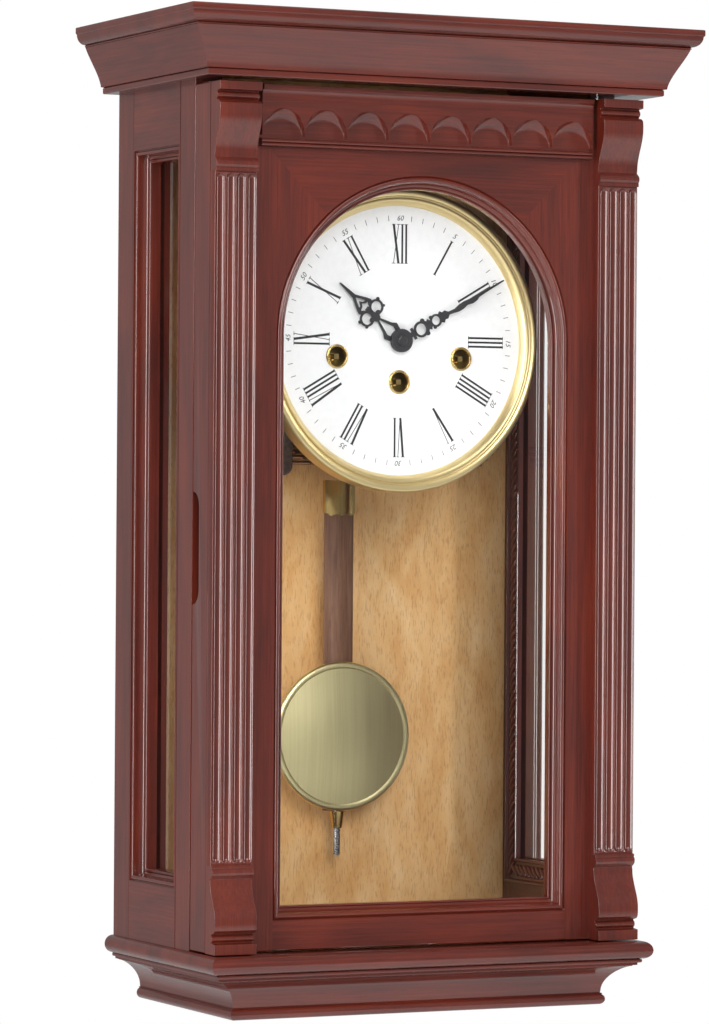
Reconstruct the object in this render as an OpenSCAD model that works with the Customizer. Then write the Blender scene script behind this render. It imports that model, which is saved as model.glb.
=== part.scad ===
// Pendulum wall clock with a glazed arched door, fluted pilasters and three winding arbors.
// Millimetres. X is to the right, the front faces -Y, the wall is the plane y = 0, Z is up.
// The origin is the centre of the keyhole's round hole, where the wall screw enters.

/* [Case] */
// Width of the case body and of the door
case_w = 290.6; // [270:0.1:360]
// Height of the case body between cornice and base board
body_h = 529.5; // [510:0.5:700]
// Depth of the case body, from the wall to the joint with the door
case_d = 119.4; // [110:0.1:160]
// Thickness of the case sides
side_t = 18; // [14:0.5:22]
// Thickness of the back panel
back_t = 8; // [7:0.5:10]
// Thickness of a glue line between two lengths of wood
glue = 0.1; // [0.05:0.05:0.3]
// Distance from the cornice top down to the keyhole
hanger_drop = 45; // [43:0.5:60]

/* [Cornice] */
// Height of the whole cornice, cap included
cornice_h = 41; // [36:0.5:50]
// Thickness of the cap board
cap_t = 11.3; // [10:0.1:13]
// How far the cap stands out past the body on each side
cap_over = 29.7; // [26:0.1:40]
// How far the cap stands out past the door face
cap_front = 39.4; // [36:0.1:50]
// Radius of the cove under the cap
cove_r = 32; // [30:0.5:34]
// Thickness of the ceiling board
ceiling_t = 18; // [12:0.5:20]

/* [Base] */
// Thickness of the bull-nosed base board
base_t = 11; // [9:0.5:14]
// Height of the whole base, board included
base_h = 40.7; // [38:0.1:50]
// How far the base board stands out past the body on each side
base_over = 5.7; // [4:0.1:10]
// How far the base board stands out past the door face
base_front = 24.2; // [20:0.1:30]
// Width of the moulding under the base board
base_moulding_w = 40; // [36:1:50]

/* [Side windows] */
// Distance from the wall to the rear edge of the window
window_back = 24.8; // [20:0.1:32]
// Width of the window, front to back
window_w = 72.5; // [60:0.5:76]
// Distance from the top of the body to the window
window_top = 36.3; // [30:0.1:50]
// Distance from the bottom of the body to the window
window_bottom = 35.4; // [30:0.1:50]
// Thickness of the side glass
side_glass_t = 3; // [2:0.5:4]
// Width of the outer bead round the glass
side_bead_w = 8.7; // [6:0.1:10]
// Width of the rope moulding inside
rope_w = 16; // [12:0.5:18]
// Thickness of the rope moulding
rope_t = 6; // [4:0.5:8]

/* [Door] */
// Thickness of the door
door_t = 23.4; // [20:0.1:28]
// Gap between the door and the case
door_gap = 0.6; // [0.4:0.1:1]
// Gap above the door
door_top_gap = 2; // [1:0.5:3]
// Half width of the arched opening cut in the door frame
arch_r = 100.6; // [97:0.1:104]
// Width of the moulding round the glass
arch_moulding_w = 8.3; // [6:0.1:10]
// How far the moulding reaches behind the door face
arch_moulding_t = 12; // [10:0.5:14]
// Height of the door's bottom rail
bottom_rail_h = 18.5; // [16:0.5:30]
// Thickness of the door glass
door_glass_t = 3; // [2:0.5:4]
// Clearance round the door glass
glass_clear = 2.5; // [1:0.5:3]
// Thickness of the beads behind the door glass
glass_bead_t = 6; // [4:0.5:6]
// Width of the beads behind the door glass
glass_bead_w = 4; // [3.5:0.5:6]
// Height of the finger notch in the door's left edge
notch_h = 68; // [50:1:80]

/* [Pilasters and frieze] */
// Width of a pilaster
pilaster_w = 27.8; // [26:0.1:34]
// How far the shaft stands out from the door face
shaft_t = 6.9; // [6:0.1:9]
// Flutes on each shaft
flute_n = 4; // [3:1:5]
// Radius of a flute
flute_r = 3.1; // [2.6:0.1:3.4]
// Height of the capital
capital_h = 54; // [50:0.5:60]
// Height of the pilaster's base
plinth_h = 53.5; // [50:0.5:60]
// Height of the frieze
frieze_h = 37; // [34:0.5:42]
// How far the frieze stands out from the door face
frieze_t = 8; // [7:0.5:10]
// Distance between the frieze and a pilaster
frieze_gap = 3.9; // [2:0.1:6]
// Arches along the frieze
frieze_n = 8; // [6:1:10]

/* [Dial and hands] */
// Distance from the cornice top to the dial's centre
dial_drop = 195.9; // [185:0.1:205]
// Distance from the wall to the dial's face
dial_y = 107.8; // [106:0.1:112]
// Thickness of the dial plate
dial_t = 1; // [0.8:0.1:1.5]
// Radius of the white face
dial_r = 84; // [80:0.5:86]
// Outer radius of the brass bezel
bezel_r = 94.7; // [92:0.1:96]
// Depth of the bezel, front to back
bezel_d = 13.8; // [10:0.1:14]
// Distance between the outer winding holes
winding_w = 86; // [80:1:92]
// Drop of the outer winding holes below the dial's centre
winding_drop = 10.6; // [8:0.1:14]
// Drop of the middle winding hole below the dial's centre
time_drop = 25.8; // [25:0.1:27]
// Clear radius of a winding hole inside its grommet
grommet_r = 5.75; // [5:0.05:6.5]
// Length of the minute hand
minute_l = 80; // [70:1:82]
// Length of the hour hand
hour_l = 55; // [45:1:58]
// Angle of the minute hand at rest, clockwise from twelve
minute_angle = 61; // [0:1:359]
// Angle of the hour hand at rest, clockwise from twelve
hour_angle = -50.5; // [-180:0.5:180]

/* [Movement] */
// Width of the movement plates
plate_w = 130; // [126:1:140]
// Height of the movement plates
plate_h = 118; // [116:1:124]
// Thickness of a movement plate
plate_t = 2; // [1.5:0.5:2.5]
// Clear distance between the plates
plate_gap = 48; // [44:1:50]
// Gap between the front plate and the back of the dial
dial_gap = 8.8; // [8.8:0.1:10]
// Radius of a spring barrel
barrel_r = 20; // [16:0.5:20]
// Radius of a winding arbor
arbor_r = 2.4; // [2:0.1:3]
// Radial running clearance of the pivots
run = 0.05; // [0.03:0.01:0.08]
// Distance between the hand arbor and the minute wheel's arbor
motion_c = 12; // [11:0.1:13]

/* [Pendulum] */
// Distance from the wall to the pendulum's plane
pend_y = 22; // [20:0.5:26]
// Height of the suspension above the dial's centre
pend_up = 55.9; // [50:0.1:56]
// Distance from the suspension to the bob's centre
pend_l = 306.3; // [290:0.1:330]
// Radius of the bob
bob_r = 47.6; // [40:0.1:52]
// Thickness of the bob
bob_t = 7.5; // [6:0.5:12]
// Width of the wooden stick
stick_w = 20; // [14:0.5:24]
// Thickness of the wooden stick
stick_t = 8; // [6:0.5:10]
// Height of the brass ferrule
ferrule_h = 23; // [18:0.5:28]
// Distance from the suspension to the top of the ferrule
ferrule_drop = 143; // [135:0.5:150]
// Radius of the threaded rod
thread_r = 2.25; // [1.5:0.05:2.5]
// Length of threaded rod below the stick
thread_l = 28.5; // [24:0.5:40]

/* [Chime] */
// Number of chime rods
rod_n = 4; // [3:1:5]
// Radius of a chime rod
rod_r = 1.25; // [1:0.05:1.5]
// Length of a chime rod outside its block
rod_l = 155; // [120:1:158]
// Distance between neighbouring rods
rod_pitch = 3.6; // [3:0.1:4]

/* [Hidden] */
$fn = 72;
eps = 0.01;
big = 1000;

// Heights and depths that several parts share
top_z = hanger_drop;
body_top = top_z - cornice_h;
body_bottom = body_top - body_h;
inner_w = case_w - 2 * side_t;
door_back = case_d + door_gap;
door_face = door_back + door_t;
door_top = body_top - door_top_gap;
door_bottom = body_bottom + door_gap;
door_h = door_top - door_bottom;

// Cornice
cap_w = case_w + 2 * cap_over;
cap_d = door_face + cap_front;
cornice_wall = (cap_w - inner_w) / 2;
thumb_r = cap_t - 4;
cove_in = thumb_r + 0.7;
lip_in = 20;
lip_h = 4;

// Base
base_w = case_w + 2 * base_over;
base_d = door_face + base_front;
nose_r = base_t / 2;
foot_r = 3.5;
foot_in = 22.2;
base_cove_r = 18;

// Side windows
win_low = body_bottom + window_bottom;
win_high = body_top - window_top;
win_h = win_high - win_low;
rope_over = 8;

// Door opening, concentric with the dial
dial_z = top_z - dial_drop;
arch_low = door_bottom + bottom_rail_h;
glass_back = door_face - arch_moulding_t - door_glass_t;
run_names = ["left", "right", "bottom", "arch"];
notch_z = dial_z - 129.4;
notch_r = 9;

// Frieze and pilaster shafts
frieze_half = case_w / 2 - pilaster_w - frieze_gap;
frieze_top = door_top - 1;
frieze_pitch = 2 * frieze_half / frieze_n;
frieze_bead = 4.5;
shaft_top = door_top - 0.5 - capital_h;
shaft_low = door_bottom + plinth_h;

// Hanger plate: a round hole, and a slot as wide as the screw's shank
plate_x = 15;
hanger_low = -22;
hanger_high = 26;
hanger_t = 2;
hole_r = 6;
slot_r = 2.5;
slot_rise = 11;
wood_screw_r = 1.5;
wood_screw_z = -16;

// Door catch: a round magnet in the case and a steel plate in the door
catch_x = case_w / 2 - side_t / 2;
catch_z = dial_z - 49;
magnet_r = 4;
magnet_l = 12;
catch_r = 5;
catch_t = 1.5;

// Hinges
knuckle_r = 2.2;
hinge_pin_r = 1;
leaf_t = 1.2;
hinge_l = 50;
hinge_x = case_w / 2 + knuckle_r + 0.2;
hinge_y = case_d + door_gap / 2;
hinge_inset = 60;
leaf_w = 12;

// Movement
front_y = dial_y - dial_t - dial_gap;
rear_y = front_y - 2 * plate_t - plate_gap;
anchor_z = dial_z + pend_up;
plate_z = anchor_z + 7 - plate_h / 2;
side_drop = [winding_w / 2, dial_z - winding_drop];
time_at = [0, dial_z - time_drop];
escape_drop = 21;
escape_r = 11;
arbor_at = [[-side_drop[0], side_drop[1]], time_at, side_drop];
center_r = 1.5;
pipe_r = 2.2;
hour_pipe_r = 3.2;
minute_at = [0, dial_z + motion_c];
escape_y = rear_y + plate_t + 6;
hammer_arbor_r = 1;

// Trains: teeth, modules and depths of the wheels
great_n = 98;
center_n = 14;
great_m = 2 * time_drop / (great_n + center_n);
cannon_n = 12;
minute_n = 36;
minute_pinion_n = 10;
hour_n = 40;
escape_n = 30;
cannon_m = 2 * motion_c / (cannon_n + minute_n);
hour_m = 2 * motion_c / (minute_pinion_n + hour_n);
drum_y0 = rear_y + plate_t + 4;
drum_y1 = front_y - plate_t - 8;
great_y = front_y - plate_t - 6;
cannon_y = front_y + 0.8;

// Hands
hour_hand_y = dial_y + 1.8;
minute_hand_y = dial_y + 3.7;
hand_t = 0.8;
hub_r = 7.2;

// Pendulum
bob_z = anchor_z - pend_l;
stick_top = anchor_z - ferrule_drop - 8;
stick_low = bob_z - bob_r - 0.1;
stick_front = pend_y + stick_t / 2;
leader_r = 1.25;

// Chime
rod_y = back_t + 4.6;
rod_top = dial_z - 65.1;
block_x = [-96, -36];
block_top = dial_z - 19.1;
block_low = dial_z - 84.1;
block_d = 22;
hammer_z = dial_z - 39.1;
hammer_y = 36;
hammer_x0 = -33;
hammer_step = 6;
head_w = 3.6;

// ---------- helpers ----------

// Extrudes a 2D outline drawn in X and Z forward from depth y_back, by t
module face_on(y_back, t) {
    translate([0, -y_back, 0]) rotate([90, 0, 0]) linear_extrude(t) children();
}

// A box given by its two corners
module box(a, b) {
    translate(a) cube(b - a);
}

// A cylinder along Y, from depth y0 to depth y1, measured forward from the wall
module rod_y(x, z, r, y0, y1) {
    translate([x, -y0, z]) rotate([90, 0, 0]) cylinder(r = r, h = y1 - y0);
}

// Both sides of the clock
module both_sides() {
    children();
    mirror([1, 0, 0]) children();
}

// Outline of a wheel with n straight-flanked teeth, one of them centred on angle a
module toothed(n, m, a) {
    pitch = 360 / n;
    root = m * n / 2 - 1.2 * m;
    tip = m * n / 2 + 0.75 * m;
    polygon([for (k = [0 : n - 1]) each [
        for (p = [[root, -0.26], [tip, -0.11], [tip, 0.11], [root, 0.26]])
            let (t = a + (k + p[1]) * pitch) [p[0] * cos(t), p[0] * sin(t)]
    ]]);
}

// Outline of the door opening at distance r from the arch's centre line, down to low
module arch_outline(r, low) {
    translate([0, dial_z]) circle(r = r, $fn = 180);
    translate([-r, low]) square([2 * r, dial_z - low]);
}

// Cross-sections of the mouldings: x is measured outward from the outermost point
module section(kind, reach) {
    if (kind == "cap") {
        translate([-reach, top_z - 4]) square([reach, 4]);
        translate([-reach, top_z - cap_t]) square([reach - thumb_r, cap_t]);
        intersection() {
            translate([-thumb_r, top_z - 4]) circle(r = thumb_r);
            translate([-thumb_r - eps, top_z - cap_t]) square([thumb_r + eps, thumb_r + eps]);
        }
    }
    if (kind == "cove") difference() {
        translate([-reach, body_top]) square([reach - cove_in, cornice_h - cap_t]);
        translate([cove_r - lip_in + 1.5, body_top + lip_h]) circle(r = cove_r, $fn = 180);
        translate([-lip_in, body_top - 1]) square([lip_in, lip_h + 1]);
    }
    if (kind == "nose") {
        translate([-reach, body_bottom - base_t]) square([reach - nose_r, base_t]);
        translate([-nose_r, body_bottom - nose_r]) circle(r = nose_r);
    }
    if (kind == "foot") {
        foot_low = body_bottom - base_h;
        moulding_top = body_bottom - base_t;
        translate([-reach, moulding_top - 2.5]) square([reach - 7, 2.5]);
        difference() {
            translate([-reach, foot_low + 2 * foot_r])
                square([reach - 9.7, moulding_top - 2.5 - foot_low - 2 * foot_r]);
            translate([base_cove_r - foot_in - 2.3, foot_low + 8]) circle(r = base_cove_r, $fn = 120);
        }
        translate([-reach, foot_low]) square([reach - foot_in - foot_r, 2 * foot_r]);
        translate([-foot_in - foot_r, foot_low + foot_r]) circle(r = foot_r);
    }
}

// A block w wide and d deep, moulded on its front and two sides
module moulded(kind, w, d) {
    intersection() {
        rotate([90, 0, 0]) linear_extrude(d) {
            translate([w / 2, 0]) section(kind, w / 2);
            mirror([1, 0]) translate([w / 2, 0]) section(kind, w / 2);
        }
        rotate([90, 0, 90]) translate([0, 0, -w / 2]) linear_extrude(w)
            mirror([1, 0]) translate([d, 0]) section(kind, d);
    }
}

// Three mitred lengths of moulding, t wide, round the front and sides
module mitred_runs(kind, w, d, t) {
    front = [[-w / 2 - 1, -d - 1], [w / 2 + 1, -d - 1], [w / 2 - t, -d + t], [-w / 2 + t, -d + t]];
    side = [[w / 2 + 1, -d - 1 + glue], [w / 2 + 1, 0], [w / 2 - t, 0], [w / 2 - t, -d + t + glue]];
    intersection() {
        moulded(kind, w, d);
        translate([0, 0, -big]) linear_extrude(2 * big) polygon(front);
    }
    both_sides() intersection() {
        moulded(kind, w, d);
        translate([0, 0, -big]) linear_extrude(2 * big) polygon(side);
    }
}

// Four strips round a rectangular window in the right side, each of its own
module window_strips(x0, x1, y_in, w, low, high, width) {
    for (y = [y_in, y_in + w - width]) box([x0, -y - width, low], [x1, -y, high]);
    for (z = [low, high - width])
        box([x0, -(y_in + w - width - glue), z], [x1, -(y_in + width + glue), z + width]);
}

// ---------- case ----------

module back_panel() color("burlywood") difference() {
    box([-inner_w / 2, -back_t, body_bottom], [inner_w / 2, 0, top_z - cap_t]);
    // recess for the keyhole plate, and room for the screw's head behind it
    box([-plate_x, -hanger_t, hanger_low], [plate_x, 1, hanger_high]);
    box([-9, -back_t + 1, -9], [9, 0, slot_rise + 7]);
    for (x = [-11, 11]) rod_y(x, wood_screw_z, wood_screw_r, hanger_t, back_t - 1);
}

module side_frame() {
    x0 = inner_w / 2;
    x1 = case_w / 2;
    y_win = window_back + window_w;
    box([x0, -window_back, body_bottom], [x1, 0, body_top]);
    difference() {
        box([x0, -case_d, body_bottom], [x1, -y_win, body_top]);
        children();
    }
    box([x0, -y_win + glue, body_bottom], [x1, -window_back - glue, win_low]);
    box([x0, -y_win + glue, win_high], [x1, -window_back - glue, body_top]);
}

module side_frame_left() color("sienna") mirror([1, 0, 0]) side_frame()
    rod_y(catch_x, catch_z, magnet_r, case_d - magnet_l, case_d + 1);

module side_frame_right() color("sienna") side_frame()
    hinge_places() box([case_w / 2 - leaf_w, -case_d - 1, 0], [case_w / 2 + 1, -case_d + leaf_t, hinge_l]);

module side_glass() color("lightcyan", 0.4) both_sides()
    box([inner_w / 2, -window_back - window_w + 0.5, win_low + 0.5],
        [inner_w / 2 + side_glass_t, -window_back - 0.5, win_high - 0.5]);

module side_beads() color("saddlebrown") both_sides()
    window_strips(inner_w / 2 + side_glass_t, case_w / 2, window_back, window_w, win_low, win_high,
        side_bead_w);

module rope_mouldings() color("saddlebrown") both_sides() {
    grow = rope_w - rope_over;
    window_strips(inner_w / 2 - rope_t, inner_w / 2, window_back - grow, window_w + 2 * grow,
        win_low - grow, win_high + grow, rope_w);
}

module ceiling_board() color("sienna")
    box([-inner_w / 2, -cap_d + cornice_wall, body_top], [inner_w / 2, -back_t, body_top + ceiling_t]);

module cornice_cap() color("brown") moulded("cap", cap_w, cap_d);

module cornice_mouldings() color("brown") mitred_runs("cove", cap_w, cap_d, cornice_wall);

module base_board() color("brown") moulded("nose", base_w, base_d);

module base_mouldings() color("brown") mitred_runs("foot", base_w, base_d, base_moulding_w);

// Steel plate with a round entry hole at the origin and a slot running up from it
module hanger_plate() color("silver") difference() {
    box([-plate_x, -hanger_t, hanger_low], [plate_x, 0, hanger_high]);
    rod_y(0, 0, hole_r, -1, hanger_t + 1);
    box([-slot_r, -hanger_t - 1, 0], [slot_r, 1, slot_rise]);
    rod_y(0, slot_rise, slot_r, -1, hanger_t + 1);
    for (x = [-11, 11]) rod_y(x, wood_screw_z, wood_screw_r, -1, hanger_t + 1);
}

module hanger_screws() color("silver")
    for (x = [-11, 11]) rod_y(x, wood_screw_z, wood_screw_r, 0, back_t - 1);

module catch_magnet() color("dimgray") mirror([1, 0, 0])
    rod_y(catch_x, catch_z, magnet_r, case_d - magnet_l, case_d);

// Puts the children at the foot of each hinge
module hinge_places() {
    for (z = [door_top - hinge_inset - hinge_l, door_bottom + hinge_inset]) translate([0, 0, z]) children();
}

// A hinge leaf with knuckles between the heights in spans
module hinge_leaf(y0, y1, spans) {
    box([case_w / 2 - leaf_w, -y1, 0], [case_w / 2, -y0, hinge_l]);
    for (s = spans) {
        difference() {
            union() {
                translate([hinge_x, -hinge_y, s[0]]) cylinder(r = knuckle_r, h = s[1] - s[0]);
                box([case_w / 2 - eps, -y1, s[0]], [hinge_x, -y0, s[1]]);
            }
            translate([hinge_x, -hinge_y, s[0] - 1]) cylinder(r = hinge_pin_r + run, h = s[1] - s[0] + 2);
        }
    }
}

module case_hinge_leaves() color("goldenrod") hinge_places() {
    hinge_leaf(case_d - leaf_t, case_d, [[0, 15], [35, 50]]);
    translate([hinge_x, -hinge_y, 0]) cylinder(r = hinge_pin_r, h = hinge_l);
}

// ---------- movement ----------

module movement_cheeks() color("tan") both_sides()
    box([plate_w / 2 - 15, -rear_y, dial_z - 9.1], [plate_w / 2 - 1, -back_t, anchor_z]);

module plate_outline() {
    translate([-plate_w / 2, plate_z - plate_h / 2]) square([plate_w, plate_h]);
}

// Holes that both plates share
module plate_holes() {
    for (p = arbor_at) translate(p) circle(r = arbor_r + run);
    translate([0, dial_z]) circle(r = center_r + run);
    translate([0, anchor_z]) circle(r = 1.2 + run);
    translate([0, anchor_z - escape_drop]) circle(r = 1 + run);
}

module front_plate() color("gold") face_on(front_y - plate_t, plate_t) difference() {
    plate_outline();
    plate_holes();
    translate(minute_at) circle(r = 1);
}

module back_plate() color("gold") {
    face_on(rear_y, plate_t) difference() {
        plate_outline();
        plate_holes();
    }
    // lugs that carry the hammer arbor
    for (x = [hammer_x0 - 7, hammer_x0 + 3 * hammer_step + 5]) difference() {
        box([x, -rear_y, hammer_z - 3], [x + 2, -hammer_y + 3, hammer_z + 3]);
        translate([x - 1, -hammer_y, hammer_z]) rotate([0, 90, 0]) cylinder(r = hammer_arbor_r + run, h = 4);
    }
}

module plate_pillars() color("gold") for (x = [-1, 1], z = [-1, 1])
    rod_y(x * (plate_w / 2 - 7), plate_z + z * (plate_h / 2 - 6), 3.5, rear_y + plate_t, front_y - plate_t);

module suspension_post() color("gold") {
    box([-5, -rear_y, anchor_z + 6], [5, -pend_y + 8, anchor_z + 12]);
    for (y = [pend_y + 4, pend_y - 6]) box([-4, -y - 2, anchor_z - 3], [4, -y, anchor_z + 6 + eps]);
    rod_y(0, anchor_z, 0.8, pend_y - 6.5, pend_y + 6.5);
}

module gong_block() color("dimgray") face_on(back_t, block_d) difference() {
    union() {
        translate([block_x[0], block_low + 6]) square([block_x[1] - block_x[0], block_top - block_low - 6]);
        translate([block_x[0] + 6, block_low]) square([block_x[1] - block_x[0] - 12, 6 + eps]);
        for (x = [block_x[0] + 6, block_x[1] - 6]) translate([x, block_low + 6]) circle(r = 6);
    }
}

module chime_rods() color("peru") for (k = [0 : rod_n - 1])
    translate([block_x[1], -rod_y, rod_top - k * rod_pitch]) rotate([0, 90, 0])
        cylinder(r = rod_r, h = rod_l - k * 4);

module dial_plate() color("white") {
    face_on(dial_y - dial_t, dial_t) difference() {
        translate([0, dial_z]) circle(r = bezel_r - 3, $fn = 180);
        for (p = arbor_at) translate(p) circle(r = grommet_r + 0.8);
        translate([0, dial_z]) circle(r = hour_pipe_r + 0.3);
    }
    for (x = [-45, 45], z = [-30, 34]) rod_y(x, dial_z + z, 1.5, front_y, dial_y - dial_t);
}

module dial_bezel() color("khaki") translate([0, 0, dial_z]) rotate([90, 0, 0]) rotate_extrude($fn = 180)
    polygon([
        [bezel_r - 3, dial_y + 6 - bezel_d], [bezel_r, dial_y + 6 - bezel_d], [bezel_r, dial_y + 4.6],
        [bezel_r - 1.2, dial_y + 6], [bezel_r - 4.6, dial_y + 6], [bezel_r - 5.2, dial_y + 4.8],
        [bezel_r - 6.2, dial_y + 4.8], [bezel_r - 6.8, dial_y + 5.4], [dial_r + 0.4, dial_y + 1.6],
        [dial_r, dial_y], [bezel_r - 3, dial_y]
    ]);

module winding_grommets() color("khaki") for (p = arbor_at) translate([p[0], 0, p[1]]) rotate([90, 0, 0])
    rotate_extrude() polygon([
        [grommet_r, dial_y - dial_t - 0.4], [grommet_r + 0.8, dial_y - dial_t - 0.4],
        [grommet_r + 0.8, dial_y], [grommet_r + 1.8, dial_y],
        [grommet_r + 1.4, dial_y + 0.8], [grommet_r + 0.4, dial_y + 1]
    ]);

// ---------- trains ----------

module barrel(p) color("gold") difference() {
    rod_y(p[0], p[1], barrel_r, drum_y0, drum_y1);
    rod_y(p[0], p[1], arbor_r + run, 0, big);
}

module time_barrel() {
    barrel(time_at);
    color("gold") translate([time_at[0], 0, time_at[1]]) face_on(drum_y1, 2) difference() {
        toothed(great_n, great_m, 90);
        circle(r = arbor_r + run);
    }
}

module strike_barrel() barrel(arbor_at[0]);

module chime_barrel() barrel(arbor_at[2]);

// Round in its pivots, square in front for the winding key
module winding_arbor(p) color("gold") {
    rod_y(p[0], p[1], arbor_r, rear_y, front_y + 2);
    translate([p[0], 0, p[1]]) face_on(front_y + 2, dial_y - 2.8 - front_y) square(3.2, center = true);
}

module time_arbor() winding_arbor(time_at);

module strike_arbor() winding_arbor(arbor_at[0]);

module chime_arbor() winding_arbor(arbor_at[2]);

// Arbor with the centre pinion inside the plates and the cannon pinion's pipe in front
module center_arbor() color("gold") translate([0, 0, dial_z]) {
    rod_y(0, 0, center_r, rear_y, cannon_y + eps);
    face_on(great_y - 3, 4) toothed(center_n, great_m, -90 + 180 / center_n);
    face_on(cannon_y, 2.2) toothed(cannon_n, cannon_m, 90);
    rod_y(0, 0, pipe_r, cannon_y + 2.2 - eps, minute_hand_y + hand_t + 1.2);
}

module minute_wheel() color("gold") translate([minute_at[0], 0, minute_at[1]]) {
    face_on(front_y + 1, 1.6) toothed(minute_n, cannon_m, -90 + 180 / minute_n);
    face_on(front_y + 2.6 - eps, 3.2) toothed(minute_pinion_n, hour_m, -90);
    rod_y(0, 0, 1 - run, front_y - plate_t, front_y + 1 + eps);
}

module hour_wheel() color("gold") translate([0, 0, dial_z]) difference() {
    union() {
        face_on(front_y + 3.9, 1.4) toothed(hour_n, hour_m, 90 + 180 / hour_n);
        rod_y(0, 0, hour_pipe_r, front_y + 3.9, dial_y + 2.6);
    }
    rod_y(0, 0, pipe_r + run, 0, big);
}

// Slender blade and tip of a hand of length l
module hand_blade(l, w, base) {
    polygon([[-w, base], [w, base], [0.7, l - 1], [0, l], [-0.7, l - 1]]);
}

// An outline and its mirror image, both drawn counter-clockwise
module two_sided(p) {
    polygon(p);
    polygon([for (k = [len(p) - 1 : -1 : 0]) [-p[k][0], p[k][1]]]);
}

module ring(r, wall) difference() {
    circle(r = r);
    circle(r = r - wall);
}

module hour_hand() color("dimgray") translate([0, 0, dial_z]) rotate([0, hour_angle, 0])
    face_on(hour_hand_y, hand_t) difference() {
        union() {
            circle(r = hub_r);
            for (s = [-1, 1]) translate([s * 4.6, 26.5]) ring(5, 1.2);
            two_sided([[-0.6, 21.5], [2.6, 5], [5.4, 9.5], [1.2, 21.5]]);
            translate([0, 22]) circle(r = 2.4);
            translate([-0.7, 22]) square([1.4, 20]);
            two_sided([[3.4, 30.5], [5.2, 30.5], [1, 42], [-0.3, 42], [-0.3, 39]]);
            hand_blade(hour_l, 1.3, 38);
        }
        circle(r = hour_pipe_r + run / 2);
    }

module minute_hand() color("dimgray") translate([0, 0, dial_z]) rotate([0, minute_angle, 0])
    face_on(minute_hand_y, hand_t) difference() {
        union() {
            circle(r = hub_r);
            translate([-3.6, 7.4]) square([7.2, 1.8]);
            translate([-1.4, 6]) square([2.8, 5]);
            translate([0, 15]) ring(5, 1.4);
            translate([-4, 19]) square([8, 4]);
            translate([0, 26.5]) ring(4.2, 1.2);
            translate([-3, 30]) square([6, 3]);
            hand_blade(minute_l, 1.5, 32);
        }
        circle(r = pipe_r + run / 2);
    }

module hand_nut() color("dimgray") translate([0, 0, dial_z]) rotate([90, 0, 0]) rotate_extrude()
    polygon([
        [pipe_r + run / 2, minute_hand_y + hand_t], [3.4, minute_hand_y + hand_t],
        [3.2, minute_hand_y + hand_t + 1.4], [pipe_r + run / 2, minute_hand_y + hand_t + 1.6]
    ]);

module escape_wheel() color("gold") translate([0, 0, anchor_z - escape_drop]) {
    step = 360 / escape_n;
    face_on(escape_y, 1.5) polygon([for (k = [0 : escape_n - 1]) each [
        [(escape_r - 3) * cos(k * step), (escape_r - 3) * sin(k * step)],
        [escape_r * cos((k + 0.6) * step), escape_r * sin((k + 0.6) * step)]
    ]]);
    rod_y(0, 0, 1, rear_y, escape_y + eps);
    rod_y(0, 0, 1, escape_y + 1.5 - eps, front_y);
}

// Anchor over the escape wheel, its arbor, and the crutch that takes hold of the pendulum's leader
module anchor_and_crutch() color("silver") {
    rod_y(0, anchor_z, 1.2, rear_y - 5.5, front_y);
    face_on(escape_y - 0.2, 1.9) {
        translate([0, anchor_z]) circle(r = 4);
        translate([-1.5, anchor_z - escape_drop + escape_r + 3]) square([3, escape_drop - escape_r - 4]);
        intersection() {
            translate([0, anchor_z - escape_drop]) ring(escape_r + 5, 2.4);
            translate([-20, anchor_z - escape_drop + 4]) square([40, 20]);
        }
    }
    fork_z = anchor_z - 55;
    box([-1, -rear_y + 4.5, fork_z], [1, -rear_y + 6.5, anchor_z + 2]);
    box([-1.5, -rear_y + 4.5, fork_z - 2], [1.5, -pend_y - 4 + eps, fork_z + 2]);
    difference() {
        box([-4, -pend_y - 4, fork_z - 2], [4, -pend_y + 4, fork_z + 2]);
        box([-leader_r - 0.15, -pend_y - 2, fork_z - 3], [leader_r + 0.15, -pend_y + 5, fork_z + 3]);
    }
}

// Four hammers on one arbor, each reaching to the height of its own rod
module chime_hammers() color("gold") {
    translate([hammer_x0 - 7, -hammer_y, hammer_z]) rotate([0, 90, 0])
        cylinder(r = hammer_arbor_r, h = 3 * hammer_step + 14);
    for (k = [0 : 3]) {
        x = hammer_x0 + k * hammer_step;
        z = rod_top - min(k, rod_n - 1) * rod_pitch;
        box([x - 0.8, -hammer_y - 1.5, z - 1], [x + 0.8, -hammer_y + 1.5, hammer_z + 2]);
        translate([x, -rod_y - rod_r - 1.6, z]) rotate([90, 0, 0])
            cylinder(r = head_w / 2, h = hammer_y - rod_y - rod_r);
    }
}

// ---------- door ----------

// Half of the door front below the mitre that runs in at 45 degrees from the top corner
module stile_outline() difference() {
    x1 = case_w / 2;
    polygon([
        [-x1, door_top], [-x1, door_bottom], [-arch_r, door_bottom],
        [-arch_r, dial_z], [-x1 + door_top - dial_z, dial_z]
    ]);
    arch_outline(arch_r, arch_low);
}

module door_stile_left() color("firebrick") difference() {
    face_on(door_back, door_t) stile_outline();
    // finger notch, with round ends
    translate([-case_w / 2 - 1, 0, 0]) rotate([90, 0, 90]) linear_extrude(notch_r) {
        translate([-door_back - notch_r, notch_z - notch_h / 2 + notch_r])
            square([notch_r + 1, notch_h - 2 * notch_r]);
        for (s = [-1, 1]) translate([-door_back, notch_z + s * (notch_h / 2 - notch_r)]) circle(r = notch_r);
    }
    catch_seat();
}

module door_stile_right() color("firebrick") difference() {
    face_on(door_back, door_t) mirror([1, 0]) stile_outline();
    hinge_places()
        box([case_w / 2 - leaf_w, -door_back - leaf_t, 0], [case_w / 2 + 1, -door_back + 1, hinge_l]);
}

module door_top_rail() color("firebrick") face_on(door_back, door_t) difference() {
    x1 = case_w / 2;
    polygon([[-x1, door_top], [x1, door_top], [0, door_top - x1]]);
    arch_outline(arch_r, arch_low);
}

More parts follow.
